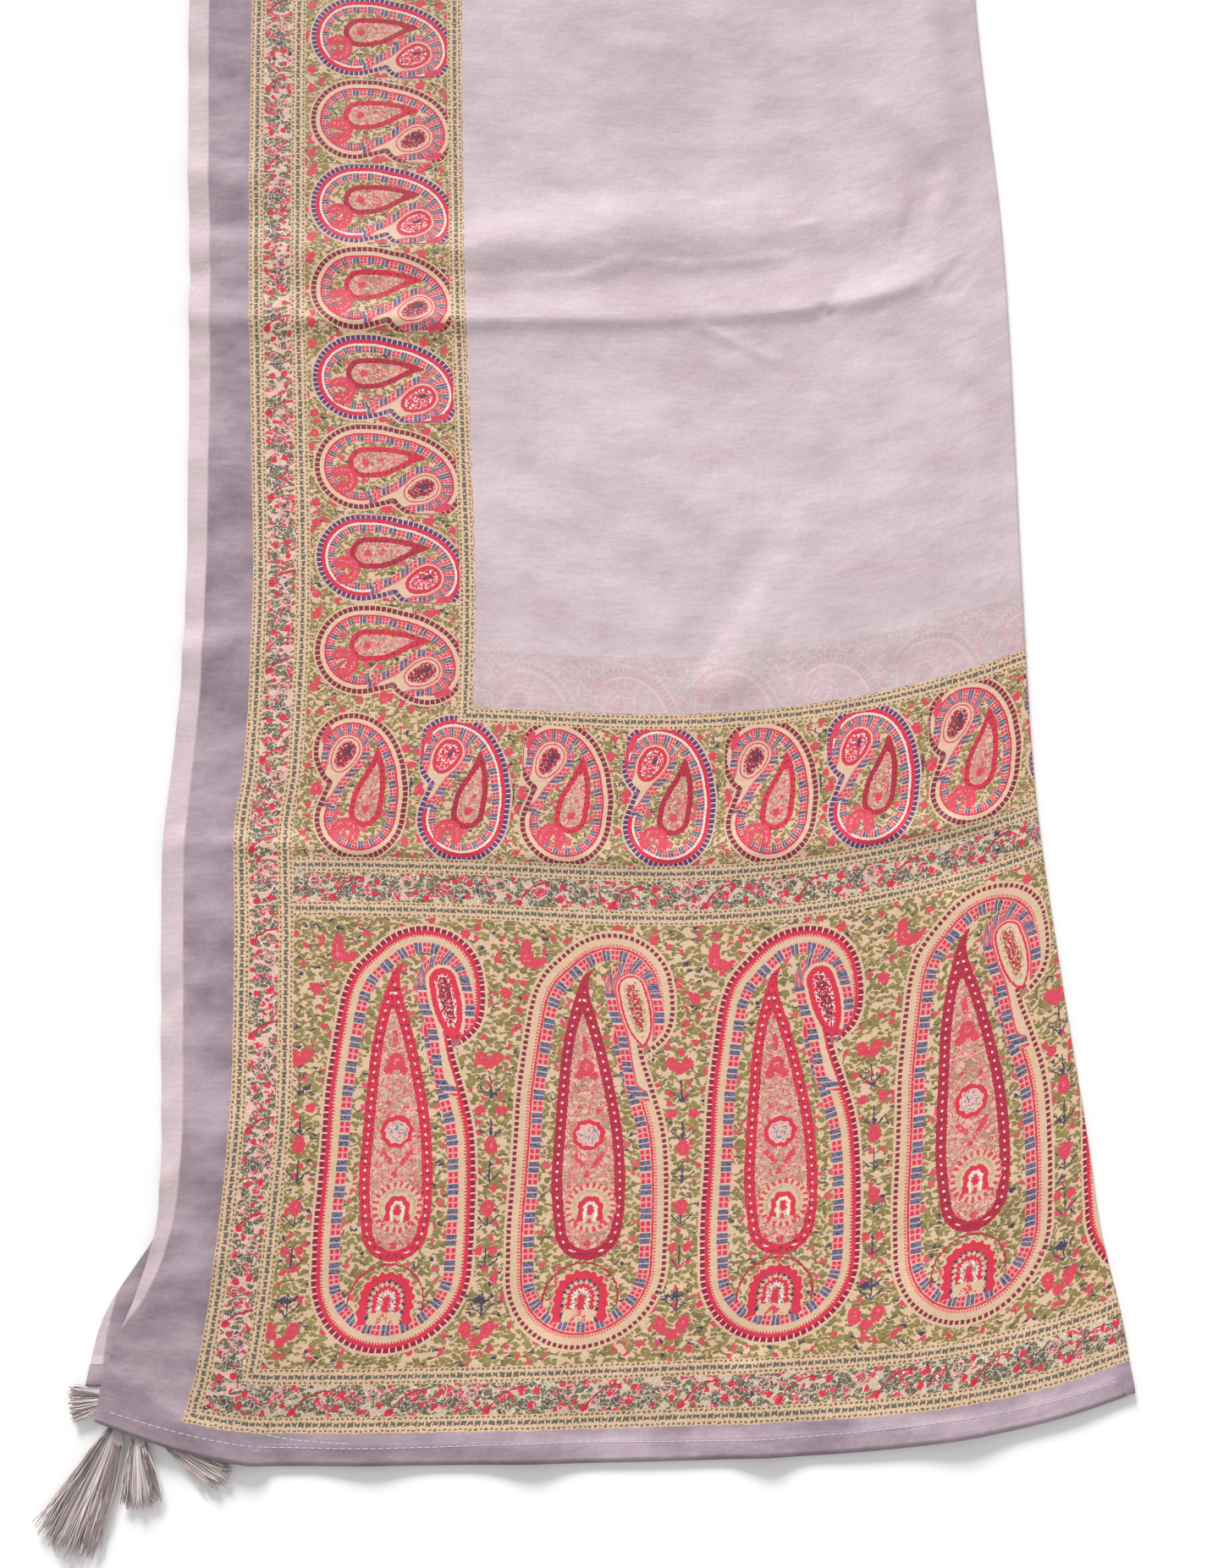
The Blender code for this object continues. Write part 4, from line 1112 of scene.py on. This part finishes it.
# Dotted stripes: two rows of olive dashes with a row of grey-green bow-shaped beads between them
BEAD_PITCH = 3.4
DASH_PITCH = 2.5
bead_turns = add("ShaderNodeMath", (along_band, BEAD_PITCH), operation="DIVIDE")
bead_turns = add("ShaderNodeMath", (bead_turns,), operation="FRACT")
bead_along = add("ShaderNodeMapRange", {"Value": bead_turns, 3: -BEAD_PITCH / 2, 4: BEAD_PITCH / 2})
bead_along = add("ShaderNodeMath", (bead_along,), operation="ABSOLUTE")
bead_across = add("ShaderNodeMath", (across_band, 3.9), operation="SUBTRACT")
bead_across = add("ShaderNodeMath", (bead_across,), operation="ABSOLUTE")
bow = add("ShaderNodeMath", (bead_along, -0.55, bead_across), operation="MULTIPLY_ADD")
beads = where_all(
    add("ShaderNodeMath", (bow, 0.62), operation="LESS_THAN"),
    add("ShaderNodeMath", (bead_along, 1.32), operation="LESS_THAN"),
)
outer_row, inner_row = within(across_band, 0.5, 1.5), within(across_band, 6.1, 7.1)
dash_rows = add("ShaderNodeMath", (outer_row, inner_row), operation="MAXIMUM")
olive_dashes = where_all(dash_rows, repeat(along_band, DASH_PITCH, 0.0, 0.58))
stripe = dyed_with(ground, (OLIVE_DEEP, olive_dashes), (GREY_GREEN, beads))

# Creepers, repeated every 47 mm: a curved crimson stem, buds and clumps of grey-green leaves
CREEPER_UNIT = 47.0
BUDS = (
    # along, across, radius
    (3, 2, 1.9), (0.5, 14, 1.5), (24, 4, 1.7), (25.5, 10.5, 1.7),
    (45, 5, 1.4), (36, 2, 1.2), (18, 11, 1.3), (14, 8, 1.2),
)
CLUMPS = ((33, 7, 4.4), (10, 5.5, 3.2), (42, 10, 3.0), (19, 4, 2.4), (27, 13, 2.2))
unit_along = add("ShaderNodeMath", (along_band, CREEPER_UNIT, 0.0), operation="WRAP")
unit_across = add("ShaderNodeMath", (over, STRIPE), operation="SUBTRACT")
unit_place = add("ShaderNodeCombineXYZ", (unit_along, unit_across))


def off_spots(spots):
    """How far a place in the creeper is outside the nearest of several round spots."""
    nearest = CREEPER_UNIT
    for u, v, radius in spots:
        away = add("ShaderNodeVectorMath", (unit_place, (u, v, 0.0)), operation="DISTANCE").outputs["Value"]
        away = add("ShaderNodeMath", (away, radius), operation="SUBTRACT")
        nearest = add("ShaderNodeMath", (nearest, away), operation="MINIMUM")
    return add("ShaderNodeMath", (jitter, 1.3, nearest), operation="MULTIPLY_ADD")


rising, sloping, rosette = (
    add("ShaderNodeVectorMath", (unit_place, centre), operation="DISTANCE").outputs["Value"]
    for centre in ((-5.7, 14.7, 0.0), (18.5, -3.5, 0.0), (41.0, 10.0, 0.0))
)
stem_line = add("ShaderNodeMix", {0: upright, 2: sloping, 3: rising}, data_type="FLOAT")
stem = where_all(
    within(stem_line, 15.3, 16.2), within(unit_along, 2.5, 19.0), within(unit_across, 1.0, 15.0)
)
strokes_right, stroke_shade = leaf_dabs(swirled, 62, 5.6, 2.9, 0.43, 0.72, 83.0)
strokes_left, _ = leaf_dabs(swirled, -32, 5.2, 2.6, 0.41, 0.52, 101.0)
petals, _ = leaf_dabs(swirled, 31, 5.0, 3.0, 0.38, 0.28, 97.0)
green_tone = dyed_with(GREY_GREEN, (OLIVE_DEEP, stroke_shade))
off_clumps, off_buds = off_spots(CLUMPS), off_spots(BUDS)
clump_edge = add("ShaderNodeMapRange", {"Value": upright, 3: 0.5, 4: 0.0})
in_clump = add("ShaderNodeMath", (off_clumps, clump_edge), operation="LESS_THAN")
pale_veins = where_all(add("ShaderNodeMath", (veins, 0.05), operation="LESS_THAN"), weave_break)
creeper = dyed_with(
    dye("D0BA9E"),
    (CREAM_PINK, upright),
    (CREAM_PALE, where_all(upright, soft_noise)),
    (green_tone, strokes_left),
    (green_tone, strokes_right),
    (dye("635A52"), where_all(in_clump, weave_break)),
    (red_tone, petals),
    (INDIGO, blue_specks),
    (PINK, within(rosette, 2.2, 3.2)),
    (WHITE, pale_veins),
    (CRIMSON, add("ShaderNodeMath", (off_buds, 0.0), operation="LESS_THAN")),
    (CRIMSON_DEEP, stem),
)
printed = dyed_with(panel_print, (stripe, is_stripe), (creeper, is_creeper))

# The dyed silk: pinkish lilac in the field, greyer in the margin, and paler where one layer lies alone. A
# painted sheen lies on it as cloudy patches a few centimetres long, and its nap shows as fine slubs.
# Painted shade darkens it beyond the packing fold and towards the near left corner, and a painted sheen
# lightens the near hem
# Painted sheen: cloudy light and dark patches and long streaks, stronger in the margin. The patches also
# vary the gloss
sheen_clouds = add(
    "ShaderNodeTexNoise", {"Vector": placed, "Scale": 0.016, "Detail": 5.0, "Roughness": 0.62},
    noise_dimensions="2D",
)
sheen_streak_place = add(
    "ShaderNodeMapping", {"Vector": placed, "Rotation": (0, 0, 0.5), "Scale": (0.020, 0.055, 1.0)}
)
sheen_streaks = add(
    "ShaderNodeTexNoise", {"Vector": sheen_streak_place, "Scale": 1.0, "Detail": 5.0, "Roughness": 0.6},
    noise_dimensions="2D",
)
mottle = add("ShaderNodeTexNoise", {"Vector": in_mm, "Scale": 0.55, "Detail": 4.0}, noise_dimensions="2D")
sheen_sum = add("ShaderNodeMath", (sheen_clouds, sheen_streaks), operation="ADD")
cloudy = add("ShaderNodeMapRange", {"Value": sheen_sum, 1: 0.75, 2: 1.25})
field_silk = dyed_with(dye("C8B4BA"), (dye("DAC8CC"), cloudy))
margin_silk = dyed_with(dye("8C7984"), (dye("B8A4AE"), cloudy))
single_layer = add("ShaderNodeAttribute", attribute_name="single layer").outputs["Fac"]
single = add("ShaderNodeMapRange", {"Value": single_layer, 1: -0.5, 2: 0.7, 3: 1.0, 4: 0.0})
outside_print = add("ShaderNodeMath", (a_side, 0.0), operation="LESS_THAN")
margin_silk = dyed_with(margin_silk, (dye("D4C0C4"), where_all(single, outside_print)))
plain = dyed_with(margin_silk, (field_silk, is_field))
GHOST_STRENGTH = 0.17
in_ghost = where_all(
    is_field,
    add("ShaderNodeMath", (b_end, 391.0), operation="LESS_THAN"),
    add("ShaderNodeMath", (a_side, 117.0), operation="GREATER_THAN"),
)
ghosted = dyed_with(plain, (printed, where_all(in_ghost, GHOST_STRENGTH)))
off_field = add("ShaderNodeMath", (1.0, is_field), operation="SUBTRACT")
dyed = dyed_with(ghosted, (printed, where_all(is_print, off_field)))
slubs = add("ShaderNodeMapping", {"Vector": in_mm, "Rotation": (0, 0, -0.5), "Scale": (0.07, 0.60, 1.0)})
slub = add("ShaderNodeTexNoise", {"Vector": slubs, "Scale": 1.0, "Detail": 4.0}, noise_dimensions="2D")
nap = add("ShaderNodeMath", (mottle, slub), operation="ADD")
mottled = add("ShaderNodeMapRange", {"Value": nap, 1: 0.7, 2: 1.3, 3: 0.93, 4: 1.05})
# Painted shade: the silk darkens by a tenth beyond the packing fold
shade_beyond_fold = add("ShaderNodeMapRange", {"Value": b, 1: 600.0, 2: 800.0, 3: 1.0, 4: 0.90})
# Painted shade, darker towards the near left corner
NEAR_CORNER = (-30.0, -15.0, 0.0)
from_corner = add("ShaderNodeVectorMath", (in_mm, NEAR_CORNER), operation="DISTANCE").outputs["Value"]
corner_shade = add("ShaderNodeMapRange", {"Value": from_corner, 1: 30.0, 2: 190.0, 3: 0.83, 4: 1.0})
# Painted sheen: the near hem lightens towards the fold
hem_sheen_ramp = add("ShaderNodeMapRange", {"Value": a, 1: 40.0, 2: 380.0, 3: 1.0, 4: 1.14})
is_hem = add("ShaderNodeMath", (b, 0.0), operation="LESS_THAN")
hem_sheen = add("ShaderNodeMix", {0: is_hem, 2: 1.0, 3: hem_sheen_ramp}, data_type="FLOAT")

# The weave: threads every third of a millimetre in real silk, drawn twice as coarse here so that they show
warp, weft = (
    add(
        "ShaderNodeTexWave", {"Vector": in_mm, "Scale": 0.50, "Distortion": 0.6, "Detail": 1.0},
        bands_direction=direction,
    )
    for direction in "XY"
)
threads = add("ShaderNodeMath", (warp, weft), operation="ADD")
thread_tint = add("ShaderNodeMapRange", {"Value": threads, 1: 0.0, 2: 2.0, 3: 0.955, 4: 1.03})
# The weave's tint and the fine mottling, with the painted shade and sheen, scale the dyed colour
tint_and_painted_light = where_all(thread_tint, mottled, shade_beyond_fold, corner_shade, hem_sheen)
woven = add("ShaderNodeVectorMath", {0: dyed, "Scale": tint_and_painted_light}, operation="SCALE")
crumple = add(
    "ShaderNodeTexNoise", {"Vector": in_mm, "Scale": 0.05, "Detail": 6.0, "Roughness": 0.55},
    noise_dimensions="2D",
)
thread_bump = add("ShaderNodeBump", {"Strength": 0.12, "Distance": 0.0002, "Height": threads})
silk_bump = add(
    "ShaderNodeBump", {"Strength": 0.30, "Distance": 0.003, "Height": crumple, "Normal": thread_bump}
)
gloss = add("ShaderNodeMapRange", {"Value": sheen_clouds, 1: 0.3, 2: 0.7, 3: 0.50, 4: 0.62})
silk_shader = add(
    "ShaderNodeBsdfPrincipled",
    {"Base Color": woven, "Roughness": gloss, "Normal": silk_bump, "Sheen Weight": 0.15,
     "Sheen Roughness": 0.4, "Specular IOR Level": 0.30},
)
add("ShaderNodeOutputMaterial", {"Surface": silk_shader})
silk_mesh.materials.append(printed_silk)
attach(silk, "root")
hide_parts("dupatta_cloth")

# THE HEM'S STITCHES
# Each end is turned under 10 mm and machine-sewn with pale thread, 3.4 mm a stitch. A second, short line
# wanders off the hem at the near left corner. Each stitch is a flat pill of thread on the upper leaf.
STITCH_LENGTH = 0.0026
STITCH_PITCH = 0.0034
STITCH_WIDTH = 0.00045
STITCH_ROUNDING = 0.00012
HEM_LINE = 0.0086
HEM_WAVER = 0.0006
HEM_SEWN = (0.006, 0.452)
SECOND_LINE = 0.0105
SECOND_SEWN = (0.034, 0.110)


def silk_top(across, along):
    x, y, z = lie(np.array([across]), np.array([along]))
    return Vector((x[0], y[0], z[0])) + SHIFT


def second_line(at):
    return SECOND_LINE + 0.010 * math.exp(-(((at - 0.046) / 0.030) ** 2))


def stitch_line(shape, first, last, path):
    """Lays short flattened stitches along a path on the cloth, between two distances from its edge."""
    at = first
    while at < last:
        start, end = silk_top(at, path(at)), silk_top(at + STITCH_LENGTH, path(at + STITCH_LENGTH))
        run_along = end - start
        made = bmesh.ops.create_cube(shape, size=1.0)["verts"]
        turn = run_along.to_track_quat("X", "Z").to_matrix().to_4x4()
        size = Matrix.Diagonal((run_along.length, STITCH_WIDTH, STITCH_WIDTH * 0.8, 1.0))
        bmesh.ops.transform(shape, matrix=Matrix.Translation((start + end) / 2) @ turn @ size, verts=made)
        at += STITCH_PITCH


stitch_shape = bmesh.new()
stitch_line(stitch_shape, *HEM_SEWN, lambda at: HEM_LINE + HEM_WAVER * math.sin(38 * at))
stitch_line(stitch_shape, *HEM_SEWN, lambda at: CLOTH_LENGTH - HEM_LINE - HEM_WAVER * math.sin(38 * at))
stitch_line(stitch_shape, *SECOND_SEWN, second_line)
bmesh.ops.bevel(
    stitch_shape, geom=stitch_shape.edges[:], offset=STITCH_ROUNDING, offset_type="OFFSET", segments=1,
    profile=0.5, affect="EDGES", material=-1, clamp_overlap=True,
)
stitch_mesh = bpy.data.meshes.new("hem_stitches")
stitch_shape.to_mesh(stitch_mesh)
stitch_shape.free()
stitch_mesh.shade_smooth()
stitches = bpy.data.objects.new("hem_stitches", stitch_mesh)
bpy.context.scene.collection.objects.link(stitches)
sewing_thread, tree = cloth_material("sewing thread, twisted polyester")
twist = add("ShaderNodeTexCoord")
twisted = add(
    "ShaderNodeTexWave", {"Vector": twist.outputs["Object"], "Scale": 900.0}, bands_direction="DIAGONAL"
)
stitch_colour = dyed_with(dye("BDB2BA"), (dye("DCD2D6"), twisted))
stitch_shader = add(
    "ShaderNodeBsdfPrincipled", {"Base Color": stitch_colour, "Roughness": 0.5, "Sheen Weight": 0.2}
)
add("ShaderNodeOutputMaterial", {"Surface": stitch_shader})
stitch_mesh.materials.append(sewing_thread)
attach(stitches, "root")

# THE TASSELS
# Skeins of loose silk thread, bound at the neck and sewn to the cloth's corners, two at each. The threads
# fan out and lie on each other, so each tassel is a flat brush, cut roughly level. Real threads are too
# fine to show, so each brush has 108 to 320 thicker ones.
STRAND_RADIUS = 0.00021
STRAND_FLOOR = 0.0004
HEAD_PROFILE = ((0.0018, 0.0021), (0.0030, 0.0021), (0.0050, HEAD_RADIUS), (0.0070, 0.0013))
THREAD_JOINTS = (0.14, 0.32, 0.52, 0.72, 0.88, 1.0)
tassel_thread, tree = cloth_material("tassel thread, loose silk")
place = add("ShaderNodeTexCoord")
lock_tone = add("ShaderNodeAttribute", attribute_name="thread")
tone = add("ShaderNodeSeparateXYZ", (lock_tone.outputs["Vector"],))
ply = add("ShaderNodeTexNoise", {"Vector": place.outputs["Object"], "Scale": 900.0, "Detail": 3.0})
root_shade = add("ShaderNodeMapRange", {"Value": tone.outputs["Y"], 1: -0.1, 2: 0.22})
ply_share = add("ShaderNodeMath", (ply, 0.40), operation="MULTIPLY")
thread_colour = dyed_with(dye("C2B2B0"), (dye("F2E6E0"), tone.outputs["X"]), (dye("CCBCC0"), ply_share))
thread_colour = dyed_with(dye("867A7C"), (thread_colour, root_shade))
ply_bump = add("ShaderNodeBump", {"Strength": 0.3, "Distance": 0.0002, "Height": ply})
thread_shader = add(
    "ShaderNodeBsdfPrincipled",
    {"Base Color": thread_colour, "Roughness": 0.42, "Sheen Weight": 0.3, "Specular IOR Level": 0.45,
     "Normal": ply_bump},
)
add("ShaderNodeOutputMaterial", {"Surface": thread_shader})
chance = np.random.default_rng(11)


def thread_place(tassel, across, high, along, wobble):
    """A place along one thread, from 0 at the head to 1 at its tip, with four random turns of its own."""
    _, _, _, _, length, spread, tip_height, _, _ = tassel
    width, tall = skirt_size(spread, tip_height, along)
    centre_z = (HEAD_RADIUS + TASSEL_CLEARANCE) * (1 - along) + (tip_height / 2 + TASSEL_CLEARANCE) * along
    uneven = 1 + 0.05 * math.sin(7.0 * across + 3.0 * high) + wobble[0]
    reach = length * along * (1 - 0.10 * across * across) * uneven
    lock = 0.06 * math.sin(19 * across + wobble[3]) * along
    side = width * (across + lock) + wobble[1] * length * 0.05 * math.sin(2.6 * along + wobble[3]) * along
    rise = centre_z + tall * high * (1 - 0.1 * along) + wobble[2] * 0.0006 * along
    return Vector((reach, side, max(rise, STRAND_FLOOR)))


def tassel_piece(tassel):
    """One tassel: a bound head closed by a grid of cells, each cell drawn out as one thread."""
    node, x, y, degrees, _, _, _, across_count, high_count = tassel
    shape = bmesh.new()
    bmesh.ops.create_grid(shape, x_segments=across_count, y_segments=high_count, size=1.0)
    cells = [(face, face.calc_center_median().xy.copy()) for face in shape.faces]
    outline = [edge for edge in shape.edges if edge.is_boundary]
    centre = Vector((0.0, 0.0, HEAD_RADIUS + TASSEL_CLEARANCE))
    for vertex in shape.verts:
        u, v = vertex.co.x, vertex.co.y
        on_disc = Vector((0.0, u * math.sqrt(1 - v * v / 2), v * math.sqrt(1 - u * u / 2)))
        vertex.co = centre + HEAD_RADIUS * 0.96 * on_disc
    for back, radius in HEAD_PROFILE:
        grown = bmesh.ops.extrude_edge_only(shape, edges=outline)["geom"]
        for vertex in [g for g in grown if isinstance(g, bmesh.types.BMVert)]:
            outward = Vector((0.0, vertex.co.y, vertex.co.z - centre.z)).normalized()
            vertex.co = centre + outward * radius + Vector((-back, 0.0, 0.0))
        outline = [g for g in grown if isinstance(g, bmesh.types.BMEdge) and g.is_boundary]
    bmesh.ops.edgeloop_fill(shape, edges=outline)
    tones = shape.verts.layers.float_vector.new("thread")
    for vertex in shape.verts:
        vertex[tones] = (0.35, 0.1, 0.0)
    bmesh.ops.inset_individual(shape, faces=[face for face, _ in cells], thickness=0.00003)
    for face, (across, high) in cells:
        wobble = chance.normal(0.0, 1.0, 4) * np.array([0.035, 1.0, 1.0, 1.0])
        # Each thread's tone varies by lock and at random, and is painted lighter on the upper threads of
        # the brush, as light falls on them
        shade = 0.45 + 0.22 * math.sin(19 * across + 2) + 0.2 * chance.normal() + 0.18 * high
        shade = float(np.clip(shade, 0, 1))
        lock = face
        thin = STRAND_RADIUS * (1 + 0.25 * chance.random())
        for number, along in enumerate(THREAD_JOINTS):
            lock = bmesh.ops.extrude_discrete_faces(shape, faces=[lock])["faces"][0]
            here = thread_place(tassel, across, high, along, wobble)
            heading = (here - thread_place(tassel, across, high, along - 0.02, wobble)).normalized()
            turned = Vector((-heading.y, heading.x, 0.0)).normalized()
            raised = heading.cross(turned)
            radius = thin * (0.75 if number == len(THREAD_JOINTS) - 1 else 1.0)
            start = lock.calc_center_median()
            for vertex in lock.verts:
                offset = vertex.co - start
                sideways = math.copysign(radius, offset.dot(turned) or 1.0)
                upwards = math.copysign(radius, offset.dot(raised) or 1.0)
                vertex.co = here + turned * sideways + raised * upwards
                vertex[tones] = (shade, along, 0.0)
    turn = Matrix.Rotation(math.radians(degrees), 4, "Z")
    shape.transform(Matrix.Translation(SHIFT + Vector((x, y, 0.0))) @ turn)
    mesh = bpy.data.meshes.new(node + "_threads")
    shape.to_mesh(mesh)
    shape.free()
    mesh.shade_smooth()
    mesh.materials.append(tassel_thread)
    made = bpy.data.objects.new(node + "_threads", mesh)
    bpy.context.scene.collection.objects.link(made)
    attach(made, "root")
    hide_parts(node)


for tassel in TASSELS:
    tassel_piece(tassel)

# THE FLOOR, LIGHTS AND CAMERA
# A plain pale floor, a broad soft light from beyond the far end that shades the near side of each crease,
# and the camera over the near hem, looking down 78 degrees with a 50 mm lens.
FLOOR_REACH = 60.0
FLOOR_HEIGHT = -0.0006
LIGHTS_AIM = (0.0, 0.9, 0.0)
SUN_PLACE = (-0.8, 3.6, 1.6)
FILL_PLACE = (0.6, -1.6, 2.6)
WORLD_STRENGTH = 0.56
CAMERA_PLACE = (0.0, 0.099, 1.093)
CAMERA_TILT = math.radians(12)

floor_shape = bmesh.new()
bmesh.ops.create_grid(floor_shape, x_segments=1, y_segments=1, size=FLOOR_REACH)
floor_mesh = bpy.data.meshes.new("floor")
floor_shape.to_mesh(floor_mesh)
floor_shape.free()
floor = bpy.data.objects.new("floor", floor_mesh)
floor.location.z = FLOOR_HEIGHT
bpy.context.scene.collection.objects.link(floor)
pale_floor, tree = cloth_material("pale paper floor")
floor_shader = add("ShaderNodeBsdfPrincipled", {"Base Color": dye("FBFAFA"), "Roughness": 0.9})
add("ShaderNodeOutputMaterial", {"Surface": floor_shader})
floor_mesh.materials.append(pale_floor)


def studio_light(name, kind, place, aim, strength, **settings):
    lamp = bpy.data.lights.new(name, kind)
    lamp.energy = strength
    for setting, value in settings.items():
        setattr(lamp, setting, value)
    made = bpy.data.objects.new(name, lamp)
    made.location = Vector(place) + SHIFT
    made.rotation_euler = (Vector(aim) - Vector(place)).to_track_quat("-Z", "Y").to_euler()
    bpy.context.scene.collection.objects.link(made)


studio_light("key_light", "SUN", SUN_PLACE, LIGHTS_AIM, 2.9, angle=math.radians(18))
studio_light("fill_light", "AREA", FILL_PLACE, LIGHTS_AIM, 8, size=2.4)
world = bpy.data.worlds.new("soft studio")
world.use_nodes = True
soft_white = world.node_tree.nodes["Background"]
soft_white.inputs["Color"].default_value = (1.0, 1.0, 1.0, 1.0)
soft_white.inputs["Strength"].default_value = WORLD_STRENGTH
bpy.context.scene.world = world
bpy.context.scene.view_settings.view_transform = "Standard"

camera_data = bpy.data.cameras.new("camera")
camera_data.lens = 50
camera_data.sensor_width = 36
camera = bpy.data.objects.new("camera", camera_data)
camera.location = Vector(CAMERA_PLACE) + SHIFT
camera.rotation_euler = (CAMERA_TILT, 0.0, 0.0)
bpy.context.scene.collection.objects.link(camera)
bpy.context.scene.camera = camera
